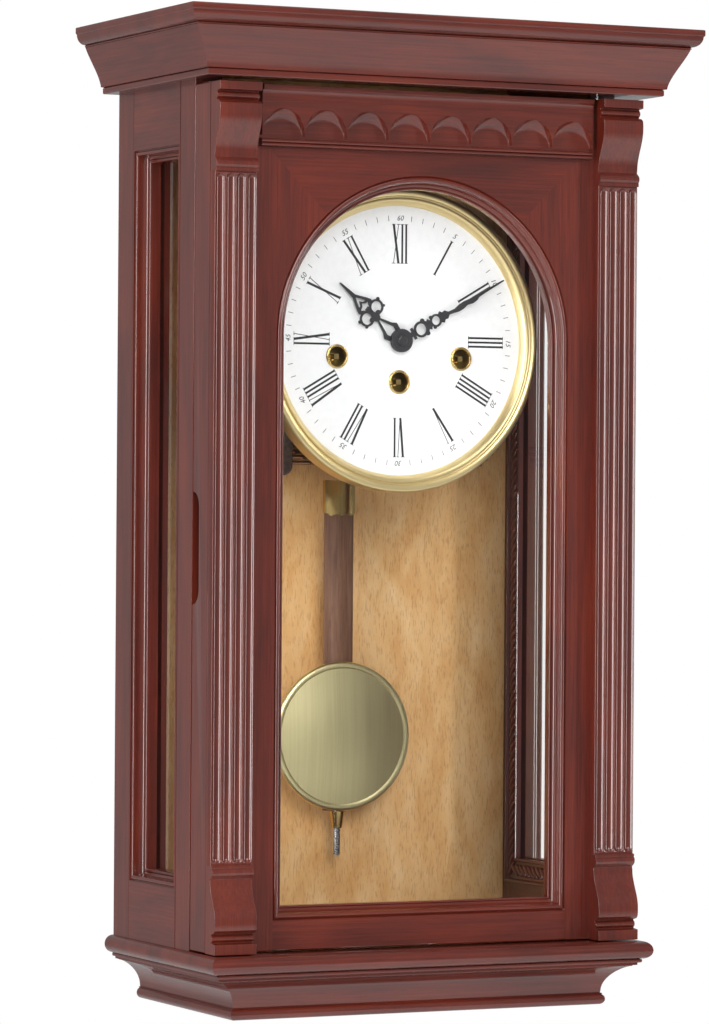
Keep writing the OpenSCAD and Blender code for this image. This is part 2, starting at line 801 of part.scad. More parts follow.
module door_bottom_rail() color("firebrick")
    box([-arch_r, -door_face, door_bottom], [arch_r, -door_back, arch_low]);

// The part of the door front that one length of the arched mouldings belongs to
module run_region(r) {
    reach = 40;
    corner = [arch_r, arch_low];
    if (r == "right") polygon([
        [corner[0] + 1, corner[1] - 1 + glue], [corner[0] - reach, corner[1] + reach + glue],
        [corner[0] - reach, dial_z], [corner[0] + 1, dial_z]
    ]);
    if (r == "left") mirror([1, 0]) run_region("right");
    if (r == "bottom") polygon([
        [-corner[0] - 1, corner[1] - 1], [corner[0] + 1, corner[1] - 1],
        [corner[0] - reach, corner[1] + reach], [-corner[0] + reach, corner[1] + reach]
    ]);
    if (r == "arch") translate([-arch_r - 1, dial_z + glue]) square([2 * arch_r + 2, arch_r + 1]);
}

// Stepped moulding in four lengths: two legs, the bottom and the arch itself
module arch_moulding() color("firebrick") for (r = run_names) {
    step_in = [0, 0.45 * arch_moulding_w, 0.8 * arch_moulding_w, arch_moulding_w];
    step_t = [arch_moulding_t, 6.5, 3];
    for (k = [0 : 2]) face_on(door_face - arch_moulding_t, step_t[k]) intersection() {
        difference() {
            arch_outline(arch_r - step_in[k], arch_low + step_in[k]);
            arch_outline(arch_r - step_in[k + 1], arch_low + step_in[k + 1]);
        }
        run_region(r);
    }
}

module door_glass() color("lightcyan", 0.4) face_on(glass_back, door_glass_t)
    arch_outline(arch_r - glass_clear, arch_low + glass_clear);

module glass_beads() color("firebrick") for (r = run_names)
    face_on(glass_back - glass_bead_t, glass_bead_t) intersection() {
        difference() {
            arch_outline(arch_r, arch_low);
            arch_outline(arch_r - glass_bead_w, arch_low + glass_bead_w);
        }
        run_region(r);
    }

// Strip with a row of arches cut in two steps, and a bead along its foot
module frieze() color("firebrick") difference() {
    arch_r_front = frieze_pitch / 2 - 0.4;
    bed = frieze_top - frieze_h + frieze_bead;
    box([-frieze_half, -door_face - frieze_t, frieze_top - frieze_h], [frieze_half, -door_face, frieze_top]);
    for (k = [0 : frieze_n - 1], deep = [0, 1])
        face_on(door_face + 2.6 + (1 - deep) * 2.7, frieze_t) intersection() {
            translate([(k + 0.5 - frieze_n / 2) * frieze_pitch, frieze_top - 14 - arch_r_front - deep * 6])
                circle(r = arch_r_front);
            translate([-frieze_half, bed]) square([2 * frieze_half, frieze_h]);
        }
}

// Points [depth, height] along a smooth S from depth p0 to depth p1
function sweep(p0, p1, z0, z1, n) = [
    for (k = [0 : n]) let (t = k / n) [p0 + (p1 - p0) * (1 - cos(180 * t)) / 2, z0 + (z1 - z0) * t]
];

// Moulded block across a pilaster's width, drawn with its outline in depth and height
module pilaster_block(outline) both_sides()
    translate([case_w / 2 - pilaster_w, 0, 0]) rotate([90, 0, 90]) linear_extrude(pilaster_w)
        polygon([for (p = outline) [-door_face - p[0], p[1]]]);

module pilaster_shafts() color("firebrick") both_sides() difference() {
    x0 = case_w / 2 - pilaster_w;
    box([x0, -door_face - shaft_t, shaft_low], [case_w / 2, -door_face, shaft_top]);
    pitch = pilaster_w / flute_n;
    for (k = [0 : flute_n - 1]) translate([x0 + (k + 0.5) * pitch, -door_face - shaft_t - 1, 0]) {
        z0 = shaft_low + flute_r + 1;
        z1 = shaft_top - flute_r - 1;
        translate([0, 0, z0]) cylinder(r = flute_r, h = z1 - z0);
        for (z = [z0, z1]) translate([0, 0, z]) sphere(r = flute_r, $fn = 48);
    }
}

module pilaster_capitals() color("firebrick") {
    z = door_top - 0.5;
    pilaster_block(concat(
        [[0, z], [14.1, z], [14.1, z - 5.3], [8.4, z - 5.8], [9.2, z - 6.6], [9.2, z - 9.6], [8, z - 10.6],
            [12.6, z - 11.6], [14.1, z - 14]],
        sweep(14.1, 6.6, z - 18, z - 43.5, 8),
        [[6, z - 45.6], [8.6, z - 46.6], [9.6, z - 48], [9.6, z - 51], [8.6, z - 52],
            [8.6, z - capital_h], [0, z - capital_h]]
    ));
}

module pilaster_bases() color("firebrick") {
    z = door_bottom;
    pilaster_block(concat(
        [[0, z], [14.1, z], [14.1, z + 6.4], [8.6, z + 7], [9.6, z + 8], [9.6, z + 11], [8.6, z + 12],
            [12.6, z + 13], [14.1, z + 15.5]],
        sweep(14.1, 6.6, z + 20, z + 42.5, 8),
        [[6, z + 45.5], [8.6, z + 46.5], [9.6, z + 48], [9.6, z + 50.5], [8.6, z + 52],
            [8.6, z + plinth_h], [0, z + plinth_h]]
    ));
}

module door_hinge_leaves() color("goldenrod") hinge_places()
    hinge_leaf(door_back, door_back + leaf_t, [[15.2, 34.8]]);

// Room in the door for the steel plate that the magnet pulls
module catch_seat() mirror([1, 0, 0])
    rod_y(catch_x, catch_z, catch_r, door_back - 1, door_back + catch_t);

module catch_plate() color("silver") mirror([1, 0, 0])
    rod_y(catch_x, catch_z, catch_r, door_back, door_back + catch_t);

// ---------- pendulum ----------

// Suspension block and spring, lower block, wire leader and hook
module pendulum_leader() color("silver") {
    difference() {
        box([-3, -pend_y - 3.7, anchor_z - 3], [3, -pend_y + 3.7, anchor_z + 3]);
        rod_y(0, anchor_z, 0.8 + run, 0, 100);
    }
    box([-3, -pend_y - 0.15, anchor_z - 17 - eps], [3, -pend_y + 0.15, anchor_z - 3 + eps]);
    box([-3, -pend_y - 2, anchor_z - 23], [3, -pend_y + 2, anchor_z - 17]);
    translate([0, -pend_y, anchor_z - ferrule_drop]) cylinder(r = leader_r, h = ferrule_drop - 23 + eps);
}

// Plan of the stick: flat behind, bowed in front
module stick_plan(grow) intersection() {
    translate([-stick_w / 2 - grow, -pend_y - stick_t / 2 - grow])
        square([stick_w + 2 * grow, stick_t + 2 * grow]);
    translate([0, -pend_y + stick_t / 2 + grow - 14.5]) circle(r = 14.5 + grow, $fn = 120);
    translate([0, -pend_y - stick_t / 2 + 14.5]) circle(r = 14.5 + grow, $fn = 120);
}

module pendulum_ferrule() color("gold") translate([0, 0, anchor_z - ferrule_drop - ferrule_h])
    difference() {
        linear_extrude(ferrule_h) stick_plan(0.7);
        translate([0, 0, -1]) linear_extrude(ferrule_h - 7) stick_plan(0);
    }

module pendulum_stick() color("saddlebrown") difference() {
    translate([0, 0, stick_low]) linear_extrude(stick_top - stick_low) stick_plan(0);
    translate([0, -pend_y, stick_low - 1]) cylinder(r = thread_r, h = 13);
}

module bob() color("khaki") translate([0, 0, bob_z]) rotate([90, 0, 0]) rotate_extrude($fn = 144)
    polygon(concat(
        [[0, stick_front + 0.1], [bob_r - 1, stick_front + 0.1], [bob_r, stick_front + 1.2],
            [bob_r, stick_front + 3], [bob_r - 1.4, stick_front + 4.6], [bob_r - 3.4, stick_front + 4.8],
            [bob_r - 4.4, stick_front + 3.9]],
        [for (k = [1 : 8]) [(bob_r - 4.4) * (1 - k / 8), stick_front + 3.9 + (bob_t - 3.9) * sin(90 * k / 8)]]
    ));

module rating_rod() color("silver") translate([0, -pend_y, stick_low - thread_l])
    cylinder(r = thread_r, h = thread_l + 12);

// Conical nut that carries the bob's weight and sets the rate
module rating_nut() color("gold") translate([0, -pend_y, stick_low - 11.2]) difference() {
    cylinder(r1 = 3.4, r2 = 5.2, h = 10.7);
    translate([0, 0, -1]) cylinder(r = thread_r + run, h = 13);
}

back_panel();
side_frame_left();
side_frame_right();
side_glass();
side_beads();
rope_mouldings();
ceiling_board();
cornice_cap();
cornice_mouldings();
base_board();
base_mouldings();
hanger_plate();
hanger_screws();
catch_magnet();
case_hinge_leaves();
movement_cheeks();
front_plate();
back_plate();
plate_pillars();
suspension_post();
gong_block();
chime_rods();
dial_plate();
dial_bezel();
winding_grommets();
time_barrel();
strike_barrel();
chime_barrel();
time_arbor();
strike_arbor();
chime_arbor();
center_arbor();
minute_hand();
hand_nut();
minute_wheel();
hour_wheel();
hour_hand();
escape_wheel();
anchor_and_crutch();
chime_hammers();
door_stile_left();
door_stile_right();
door_top_rail();
door_bottom_rail();
arch_moulding();
door_glass();
glass_beads();
frieze();
pilaster_shafts();
pilaster_capitals();
pilaster_bases();
door_hinge_leaves();
catch_plate();
pendulum_leader();
pendulum_ferrule();
pendulum_stick();
bob();
rating_rod();
rating_nut();
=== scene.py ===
"""Pendulum wall clock: the looks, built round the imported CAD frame. Sizes are in millimetres."""
import math

import bmesh
import bpy
from mathutils import Euler, Matrix, Vector


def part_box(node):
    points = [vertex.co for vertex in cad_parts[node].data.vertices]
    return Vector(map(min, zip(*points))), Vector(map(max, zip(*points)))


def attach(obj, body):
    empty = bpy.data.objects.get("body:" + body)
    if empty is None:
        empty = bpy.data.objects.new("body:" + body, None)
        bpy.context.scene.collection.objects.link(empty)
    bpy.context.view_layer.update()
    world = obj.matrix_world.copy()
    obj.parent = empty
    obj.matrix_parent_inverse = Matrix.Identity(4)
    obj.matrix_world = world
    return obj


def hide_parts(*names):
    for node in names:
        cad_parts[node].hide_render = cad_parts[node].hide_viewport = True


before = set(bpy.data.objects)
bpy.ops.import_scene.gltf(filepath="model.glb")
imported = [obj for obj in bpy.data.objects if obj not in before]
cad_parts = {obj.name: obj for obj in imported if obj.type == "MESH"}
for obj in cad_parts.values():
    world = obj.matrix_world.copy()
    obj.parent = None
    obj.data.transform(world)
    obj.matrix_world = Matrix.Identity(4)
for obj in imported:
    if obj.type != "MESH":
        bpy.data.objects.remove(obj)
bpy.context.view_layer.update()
MM = 0.001
scene = bpy.context.scene


def span(node):
    """Lowest and highest corner of a CAD node, in millimetres."""
    low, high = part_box(node)
    return low / MM, high / MM


# ---------- places that several pieces share ----------
CAP_LOW, CAP_HIGH = span("cornice_cap")
COVE_LOW, COVE_HIGH = span("cornice_mouldings")
NOSE_LOW, NOSE_HIGH = span("base_board")
FOOT_LOW, FOOT_HIGH = span("base_mouldings")
BODY_LOW, BODY_HIGH = span("side_frame_left")
DOOR_LOW, DOOR_HIGH = span("door_stile_left")
ARCH_LOW, ARCH_HIGH = span("arch_moulding")
DIAL_LOW, DIAL_HIGH = span("dial_bezel")
FACE_Y = DOOR_LOW.y
HALF_W = -BODY_LOW.x
DIAL_Z = (DIAL_LOW.z + DIAL_HIGH.z) / 2
BEZEL_R = DIAL_HIGH.x
DIAL_Y = span("dial_plate")[0].y
ARCH_R = ARCH_HIGH.x


# ---------- materials ----------
def tint(code):
    """An sRGB hex colour as linear RGBA."""
    parts = [int(code[k : k + 2], 16) / 255 for k in (1, 3, 5)]
    return tuple(c / 12.92 if c <= 0.04045 else ((c + 0.055) / 1.055) ** 2.4 for c in parts) + (1.0,)


def put(tree, kind, settings=None, inputs=None):
    """Adds a node: settings are its properties, inputs are values or sockets to link."""
    node = tree.nodes.new(kind)
    for name, value in (settings or {}).items():
        setattr(node, name, value)
    for name, value in (inputs or {}).items():
        if isinstance(value, bpy.types.NodeSocket):
            tree.links.new(value, node.inputs[name])
        else:
            node.inputs[name].default_value = value
    return node


def finish(name):
    """An empty material and its tree."""
    mat = bpy.data.materials.new(name)
    mat.use_nodes = True
    mat.node_tree.nodes.clear()
    return mat, mat.node_tree


def ramp(tree, factor, stops):
    """A colour ramp with its stops given as position and hex colour."""
    node = put(tree, "ShaderNodeValToRGB", inputs={"Fac": factor})
    while len(node.color_ramp.elements) < len(stops):
        node.color_ramp.elements.new(0.5)
    for element, (place, code) in zip(node.color_ramp.elements, stops):
        element.position = place
        element.color = tint(code)
    return node.outputs["Color"]


def wood(name, stops, streak, pore, cloud, roughness, coat, bump):
    """Wood whose grain follows each length: the grain attribute holds along, across and depth."""
    mat, tree = finish(name)
    place = put(tree, "ShaderNodeAttribute", {"attribute_name": "grain"}).outputs["Vector"]
    stretched = [
        put(tree, "ShaderNodeMapping", inputs={"Vector": place, "Scale": (1 / (a * MM), 1 / (b * MM), 1 / (b * MM))})
        for a, b in (streak, pore, cloud)
    ]
    figure = [
        put(tree, "ShaderNodeTexNoise", inputs={"Vector": m.outputs[0], "Scale": 1.0, "Detail": d, "Distortion": t})
        for m, d, t in zip(stretched, (3.0, 2.0, 2.0), (0.6, 0.0, 1.2))
    ]
    mixed = put(tree, "ShaderNodeMath", {"operation": "MULTIPLY_ADD"},
                {0: figure[2].outputs["Fac"], 1: 0.55, 2: put(tree, "ShaderNodeMath", {"operation": "MULTIPLY"},
                 {0: figure[0].outputs["Fac"], 1: 0.45}).outputs[0]}).outputs[0]
    base = ramp(tree, mixed, stops)
    pores = ramp(tree, figure[1].outputs["Fac"], [(0.34, "#d6cfcb"), (0.46, "#ffffff")])
    colour = put(tree, "ShaderNodeMix", {"data_type": "RGBA", "blend_type": "MULTIPLY"},
                 {0: 0.7, 6: base, 7: pores}).outputs[2]
    relief = put(tree, "ShaderNodeBump", inputs={"Strength": bump, "Distance": 0.1 * MM,
                                                 "Height": figure[1].outputs["Fac"]}).outputs[0]
    shader = put(tree, "ShaderNodeBsdfPrincipled", inputs={
        "Base Color": colour, "Roughness": roughness, "Specular IOR Level": 0.25, "Coat Weight": coat,
        "Coat Roughness": 0.05, "Coat IOR": 1.55, "Normal": relief})
    put(tree, "ShaderNodeOutputMaterial", inputs={"Surface": shader.outputs[0]})
    return mat


def metal(name, colour, roughness, scratch_mm, spread, bump=0.0, ring=None, tone=None):
    """Metal with fine working marks: in rings about an axis along Y where ring is its centre, else straight."""
    mat, tree = finish(name)
    place = put(tree, "ShaderNodeTexCoord").outputs["Object"]
    if ring is not None:
        moved = put(tree, "ShaderNodeVectorMath", {"operation": "SUBTRACT"},
                    {0: place, 1: Vector(ring) * MM}).outputs[0]
        flat = put(tree, "ShaderNodeVectorMath", {"operation": "MULTIPLY"}, {0: moved, 1: (1, 0, 1)}).outputs[0]
        length = put(tree, "ShaderNodeVectorMath", {"operation": "LENGTH"}, {0: flat}).outputs["Value"]
        place = put(tree, "ShaderNodeCombineXYZ", inputs={"X": length}).outputs[0]
    scaled = put(tree, "ShaderNodeMapping", inputs={
        "Vector": place, "Scale": tuple(1 / (s * MM) for s in scratch_mm)}).outputs[0]
    marks = put(tree, "ShaderNodeTexNoise", inputs={"Vector": scaled, "Scale": 1.0, "Detail": 3.0}).outputs["Fac"]
    rough = put(tree, "ShaderNodeMapRange", inputs={
        "Value": marks, "From Min": 0.3, "From Max": 0.7, "To Min": roughness - spread,
        "To Max": roughness + spread}).outputs[0]
    base = ramp(tree, marks, [(0.3, tone or colour), (0.7, colour)])
    relief = put(tree, "ShaderNodeBump", inputs={"Strength": bump, "Distance": 0.05 * MM, "Height": marks}).outputs[0]
    shader = put(tree, "ShaderNodeBsdfPrincipled", inputs={
        "Base Color": base, "Metallic": 1.0, "Roughness": rough, "Normal": relief})
    put(tree, "ShaderNodeOutputMaterial", inputs={"Surface": shader.outputs[0]})
    return mat


def coating(name, colour, tone, grit_mm, roughness, coat=0.0, bump=0.0, metallic=0.0):
    """Paint, print or enamel with a fine mottle."""
    mat, tree = finish(name)
    place = put(tree, "ShaderNodeTexCoord").outputs["Object"]
    mottle = put(tree, "ShaderNodeTexNoise", inputs={
        "Vector": place, "Scale": 1 / (grit_mm * MM), "Detail": 2.0}).outputs["Fac"]
    base = ramp(tree, mottle, [(0.35, tone), (0.65, colour)])
    relief = put(tree, "ShaderNodeBump", inputs={"Strength": bump, "Distance": 0.2 * MM, "Height": mottle}).outputs[0]
    shader = put(tree, "ShaderNodeBsdfPrincipled", inputs={
        "Base Color": base, "Roughness": roughness, "Metallic": metallic, "Coat Weight": coat,
        "Coat Roughness": 0.1, "Normal": relief})
    put(tree, "ShaderNodeOutputMaterial", inputs={"Surface": shader.outputs[0]})
    return mat


# Stained mahogany under polished lacquer: deep red-brown, fine dark pores, clear sharp reflections
MAHOGANY = wood("lacquered_mahogany", [(0.32, "#3f0f06"), (0.5, "#551708"), (0.7, "#67220d")],
                (70, 1.3), (16, 0.45), (160, 34), 0.5, 1.0, 0.0)
# Maple veneer under satin lacquer: honey colour with a soft cloudy figure
MAPLE = wood("satin_maple", [(0.32, "#cf9a5c"), (0.5, "#dcae74"), (0.7, "#e6c08c")],
             (30, 9), (5, 0.7), (70, 34), 0.45, 0.25, 0.03)
# Oiled walnut: grey-brown with long dark streaks
WALNUT = wood("oiled_walnut", [(0.3, "#5e4030"), (0.5, "#7c5945"), (0.72, "#96705a")],
              (50, 1.6), (9, 0.4), (120, 9), 0.4, 0.3, 0.08)
# Spun and polished brass: pale gold with faint rings round its centre
BEZEL_BRASS = metal("polished_brass", "#ecd9a6", 0.36, (0.5, 900, 900), 0.04, 0.04,
                    (0, 0, DIAL_Z), "#e2cc92")
# Brushed brass: straight fine lines that spread the reflections
BOB_BRASS = metal("brushed_brass", "#ece2b0", 0.4, (0.5, 60, 90), 0.04, 0.05, None, "#e2d7a2")
BRASS = metal("turned_brass", "#e4c784", 0.24, (0.6, 0.6, 40), 0.03, 0.02, None, "#ddbd78")
# Movement brass: coloured darker than bright real brass, as painted shade for the shadowed space behind the dial, with
# straight rolling lines
SHADE_DARKENED_BRASS = metal("rolled_brass_shade_darkened", "#a58a4c", 0.38, (40, 1, 1), 0.06, 0.05, None, "#927840")
STEEL = metal("bright_steel", "#b9bbbd", 0.28, (2, 2, 0.5), 0.06, 0.1, None, "#9a9c9f")
# Drawn bronze rods: warm pink-brown and smooth
BRONZE = metal("drawn_bronze", "#b08468", 0.3, (30, 0.5, 0.5), 0.05, 0.05, None, "#94694f")
# Hammertone enamel on cast iron: grey-brown with a dimpled skin
HAMMERTONE = coating("hammertone_enamel", "#5d4c45", "#453732", 2.2, 0.38, 0.3, 0.5, 0.2)
DIAL_WHITE = coating("satin_dial_enamel", "#f3f4f4", "#eff0f1", 4, 0.5)
INK = coating("printed_ink", "#232326", "#1c1c1f", 0.4, 0.6)
# Blackened steel hands: charcoal with a soft edge shine
HAND_BLACK = coating("blackened_steel", "#2f2f32", "#252528", 0.5, 0.42, 0.2, 0.05)
MAGNET = coating("nickel_magnet", "#8a8d90", "#7c7f82", 0.6, 0.3, 0, 0.02, 1.0)


def clear_glass():
    """Float glass: clear, with a mirror sheen that grows at a slant."""
    mat, tree = finish("float_glass")
    wave = put(tree, "ShaderNodeTexNoise", inputs={
        "Vector": put(tree, "ShaderNodeTexCoord").outputs["Object"], "Scale": 8.0, "Detail": 1.0}).outputs["Fac"]
    relief = put(tree, "ShaderNodeBump", inputs={"Strength": 0.02, "Distance": 1 * MM, "Height": wave}).outputs[0]
    through = put(tree, "ShaderNodeBsdfTransparent", inputs={"Color": tint("#fdfdfd")})
    sheen = put(tree, "ShaderNodeBsdfGlossy", inputs={"Color": tint("#ffffff"), "Roughness": 0.02, "Normal": relief})
    angle = put(tree, "ShaderNodeFresnel", inputs={"IOR": 1.45})
    # only the face that a ray enters by shines, because rays go straight through and don't bend inside
    back = put(tree, "ShaderNodeNewGeometry").outputs["Backfacing"]
    share = put(tree, "ShaderNodeMath", {"operation": "MULTIPLY_ADD"}, {
        0: put(tree, "ShaderNodeMath", {"operation": "MULTIPLY"}, {0: back, 1: -1.0}).outputs[0],
        1: angle.outputs[0], 2: angle.outputs[0]}).outputs[0]
    both = put(tree, "ShaderNodeMixShader", inputs={0: share, 1: through.outputs[0], 2: sheen.outputs[0]})
    put(tree, "ShaderNodeOutputMaterial", inputs={"Surface": both.outputs[0]})
    return mat


GLASS = clear_glass()


# ---------- mesh code ----------
def grain_by_length(bm):
    """Writes the grain attribute: each separate length has its grain along its longest side."""
    layer = bm.verts.layers.float_vector.get("grain") or bm.verts.layers.float_vector.new("grain")
    left, count = set(bm.verts), 0
    while left:
        stack, island = [left.pop()], []
        while stack:
            v = stack.pop()
            island.append(v)
            for e in v.link_edges:
                o = e.other_vert(v)
                if o in left:
                    left.discard(o)
                    stack.append(o)
        sizes = [max(v.co[k] for v in island) - min(v.co[k] for v in island) for k in range(3)]
        a = sizes.index(max(sizes))
        b, c = (a + 1) % 3, (a + 2) % 3
        for v in island:
            v[layer] = (v.co[a] + count * 0.37, v.co[b] + count * 0.11, v.co[c])
        count += 1


def settle(name, mesh, material, body, nodes=(), smooth=35, bevel=0.0, weights=False, segments=2):
    """Turns a mesh into a piece of the clock."""
    obj = bpy.data.objects.new(name, mesh)
    scene.collection.objects.link(obj)
    if material is not None:
        mesh.materials.clear()
        mesh.materials.append(material)
    mesh.shade_smooth()
    mesh.set_sharp_from_angle(angle=math.radians(smooth))
    if bevel:
        mod = obj.modifiers.new("edges", "BEVEL")
        mod.width = bevel * MM
        mod.segments = segments
        mod.limit_method = "WEIGHT" if weights else "ANGLE"
        mod.angle_limit = math.radians(30)
        mod.harden_normals = True
    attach(obj, body)
    if nodes:
        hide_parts(*nodes)
    return obj


def solid(name, verts, faces, material, body, grain=None, clean=True, **how):
    """A piece from points in millimetres, with its normals turned outwards."""
    mesh = bpy.data.meshes.new(name)
    mesh.from_pydata([Vector(v) * MM for v in verts], [], faces)
    bm = bmesh.new()
    bm.from_mesh(mesh)
    if clean:
        bmesh.ops.remove_doubles(bm, verts=bm.verts, dist=0.002 * MM)
        bmesh.ops.dissolve_degenerate(bm, edges=bm.edges, dist=0.001 * MM)
    bmesh.ops.recalc_face_normals(bm, faces=bm.faces)
    if grain is None:
        grain_by_length(bm)
    else:
        layer = bm.verts.layers.float_vector.new("grain")
        bm.verts.ensure_lookup_table()
        for v, g in zip(bm.verts, grain):
            v[layer] = Vector(g) * MM
    bm.to_mesh(mesh)
    bm.free()
    return settle(name, mesh, material, body, **how)


def soften(name, node, material, body, bevel, edge=None, segments=2):
    """A copy of a CAD node with eased edges. edge picks the ones to ease, from their two ends."""
    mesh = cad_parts[node].data.copy()
    bm = bmesh.new()
    bm.from_mesh(mesh)
    bmesh.ops.remove_doubles(bm, verts=bm.verts, dist=0.002 * MM)
    bmesh.ops.dissolve_limit(bm, angle_limit=math.radians(0.5), verts=bm.verts, edges=bm.edges)
    grain_by_length(bm)
    if edge:
        layer = bm.edges.layers.float.get("bevel_weight_edge") or bm.edges.layers.float.new("bevel_weight_edge")
        for e in bm.edges:
            if len(e.link_faces) == 2 and e.calc_face_angle(0) > 0.5 and edge(*[v.co / MM for v in e.verts]):
                e[layer] = 1.0
    bm.to_mesh(mesh)
    bm.free()
    mesh.name = name
    return settle(name, mesh, material, body, nodes=[node], bevel=bevel, weights=bool(edge), segments=segments)


def sweep(points, profile, place, closed=False, corners=()):
    """Mitred lengths of a profile along a path in a plane: (verts, faces, grain).
    profile is [offset to the left of the path, depth]; a new length starts at each corner."""
    count = len(points)
    pts = [Vector(p) for p in points]
    turns = []
    for k in range(count):
        before = pts[k - 1] if closed or k else None
        after = pts[(k + 1) % count] if closed or k < count - 1 else None
        dirs = [(b - a).normalized() for a, b in ((before, pts[k]), (pts[k], after)) if a is not None and b is not None]
        normals = [Vector((-d.y, d.x)) for d in dirs]
        turns.append(normals[0] if len(normals) == 1 else (normals[0] + normals[1]) / (1 + normals[0].dot(normals[1])))
    order = list(range(count)) + ([0] if closed else [])
    cuts = [0] + [k for k in range(1, len(order) - 1) if order[k] in corners] + [len(order) - 1]
    across = [0.0]
    for a, b in zip(profile, profile[1:]):
        across.append(across[-1] + math.dist(a, b))
    verts, faces, grain, along = [], [], [], 0.0
    n = len(profile)
    for piece, (k0, k1) in enumerate(zip(cuts, cuts[1:])):
        base = len(verts)
        for k in range(k0, k1 + 1):
            if k > k0:
                along += (pts[order[k]] - pts[order[k - 1]]).length
            for (off, depth), step in zip(profile, across):
                p = pts[order[k]] + turns[order[k]] * off
                verts.append(place(p.x, p.y, depth))
                grain.append((along + piece * 91, step + piece * 17, 0))
        rings = k1 - k0
        for r in range(rings):
            for j in range(n):
                a, b = base + r * n + j, base + r * n + (j + 1) % n
                faces.append((a, b, b + n, a + n))
        faces.append(tuple(base + j for j in range(n)))
        faces.append(tuple(base + rings * n + j for j in reversed(range(n))))
    return verts, faces, grain


def lathe(profile, centre, axis, steps):
    """A turned solid: profile is [radius, place along the axis], a closed outline."""
    verts, faces = [], []
    n = len(profile)
    for s in range(steps):
        a = 2 * math.pi * s / steps
        for r, h in profile:
            u, v = r * math.cos(a), r * math.sin(a)
            verts.append(Vector(centre) + Vector((u, h, v) if axis == "Y" else (u, v, h)))
    for s in range(steps):
        for j in range(n):
            a, b = s * n + j, s * n + (j + 1) % n
            c, d = (s + 1) % steps * n + (j + 1) % n, (s + 1) % steps * n + j
            faces.append((a, b, c, d))
    return verts, faces


def prism(outline, y_back, y_front):
    """An outline in X and Z, extruded along Y."""
    n = len(outline)
    verts = [(x, y, z) for y in (y_back, y_front) for x, z in outline]
    faces = [tuple(range(n)), tuple(reversed(range(n, 2 * n)))]
    faces += [(k, (k + 1) % n, n + (k + 1) % n, n + k) for k in range(n)]
    return verts, faces


def gather(parts):
    """Several (verts, faces) as one."""
    verts, faces = [], []
    for v, f in parts:
        faces += [tuple(k + len(verts) for k in face) for face in f]
        verts += list(v)
    return verts, faces


def arc(cx, cy, r, a0, a1, n):
    """Points along an arc, its angles in degrees."""
    return [(cx + r * math.cos(math.radians(a0 + (a1 - a0) * k / n)),
             cy + r * math.sin(math.radians(a0 + (a1 - a0) * k / n))) for k in range(n + 1)]


def repeat(name, unit, sockets, lay):
    """Geometry Nodes that repeat a mesh: lay(tree, inputs) gives the geometry before the last two nodes."""
    tree = bpy.data.node_groups.new(name, "GeometryNodeTree")
    tree.interface.new_socket("Geometry", in_out="OUTPUT", socket_type="NodeSocketGeometry")
    tree.interface.new_socket("Geometry", in_out="INPUT", socket_type="NodeSocketGeometry")
    made = {}
    for label, value in sockets.items():
        kind = "NodeSocketInt" if isinstance(value, int) else "NodeSocketFloat"
        made[label] = tree.interface.new_socket(label, in_out="INPUT", socket_type=kind)
    start = put(tree, "NodeGroupInput")
    shape = lay(tree, start.outputs)
    real = put(tree, "GeometryNodeRealizeInstances", inputs={"Geometry": shape})
    painted = put(tree, "GeometryNodeSetMaterial", inputs={
        "Geometry": real.outputs[0], "Material": unit.data.materials[0]})
    put(tree, "NodeGroupOutput", inputs={0: painted.outputs[0]})
    mod = unit.modifiers.new(name, "NODES")
    mod.node_group = tree
    for label, value in sockets.items():
        mod[made[label].identifier] = value
    scene.collection.objects.link(unit)
    graph = bpy.context.evaluated_depsgraph_get()
    mesh = bpy.data.meshes.new_from_object(unit.evaluated_get(graph), depsgraph=graph)
    unit.modifiers.remove(mod)
    bpy.data.objects.remove(unit)
    return mesh


def unit_mesh(name, verts, faces, material):
    """A small mesh for repeat, in millimetres."""
    mesh = bpy.data.meshes.new(name)
    mesh.from_pydata([Vector(v) * MM for v in verts], [], faces)
    mesh.materials.append(material)
    bm = bmesh.new()
    bm.from_mesh(mesh)
    bmesh.ops.remove_doubles(bm, verts=bm.verts, dist=0.001 * MM)
    bmesh.ops.recalc_face_normals(bm, faces=bm.faces)
    bm.to_mesh(mesh)
    bm.free()
    return bpy.data.objects.new(name, mesh)


# ---------- cornice and base ----------
def on_plan(x, y, z):
    return (x, y, z)


def u_path(low):
    """Round the left side, the front and the right side of a board whose lowest corner is given."""
    return [(low.x, 0), (low.x, low.y), (-low.x, low.y), (-low.x, 0)]


top = CAP_HIGH.z
cap_outer = [(0.6, top), (0.15, top - 0.3), (0, top - 0.8), (0, top - 3.6), (0.5, top - 4.2)]
cap_outer += [(0.8 + 6.2 * (1 - math.cos(math.radians(a))) * 0.9, top - 4.4 - 6.4 * math.sin(math.radians(a)))
              for a in range(0, 91, 9)]
cap_outer += [(6.9, CAP_LOW.z)]


def board(name, outer, low, material, nodes):
    """A solid board moulded on its front and two sides."""
    verts, faces = [], []
    for inset, z in outer:
        verts += [(low.x + inset, 0, z), (low.x + inset, low.y + inset, z),
                  (-low.x - inset, low.y + inset, z), (-low.x - inset, 0, z)]
    for r in range(len(outer) - 1):
        for k in range(4):
            a, b = r * 4 + k, r * 4 + (k + 1) % 4
            faces.append((a, b, b + 4, a + 4))
    faces += [(0, 1, 2, 3), tuple(len(verts) - 1 - k for k in range(4))]
    return solid(name, verts, faces, material, "case", nodes=nodes, smooth=50)


board("cornice_board", cap_outer, CAP_LOW, MAHOGANY, ["cornice_cap"])

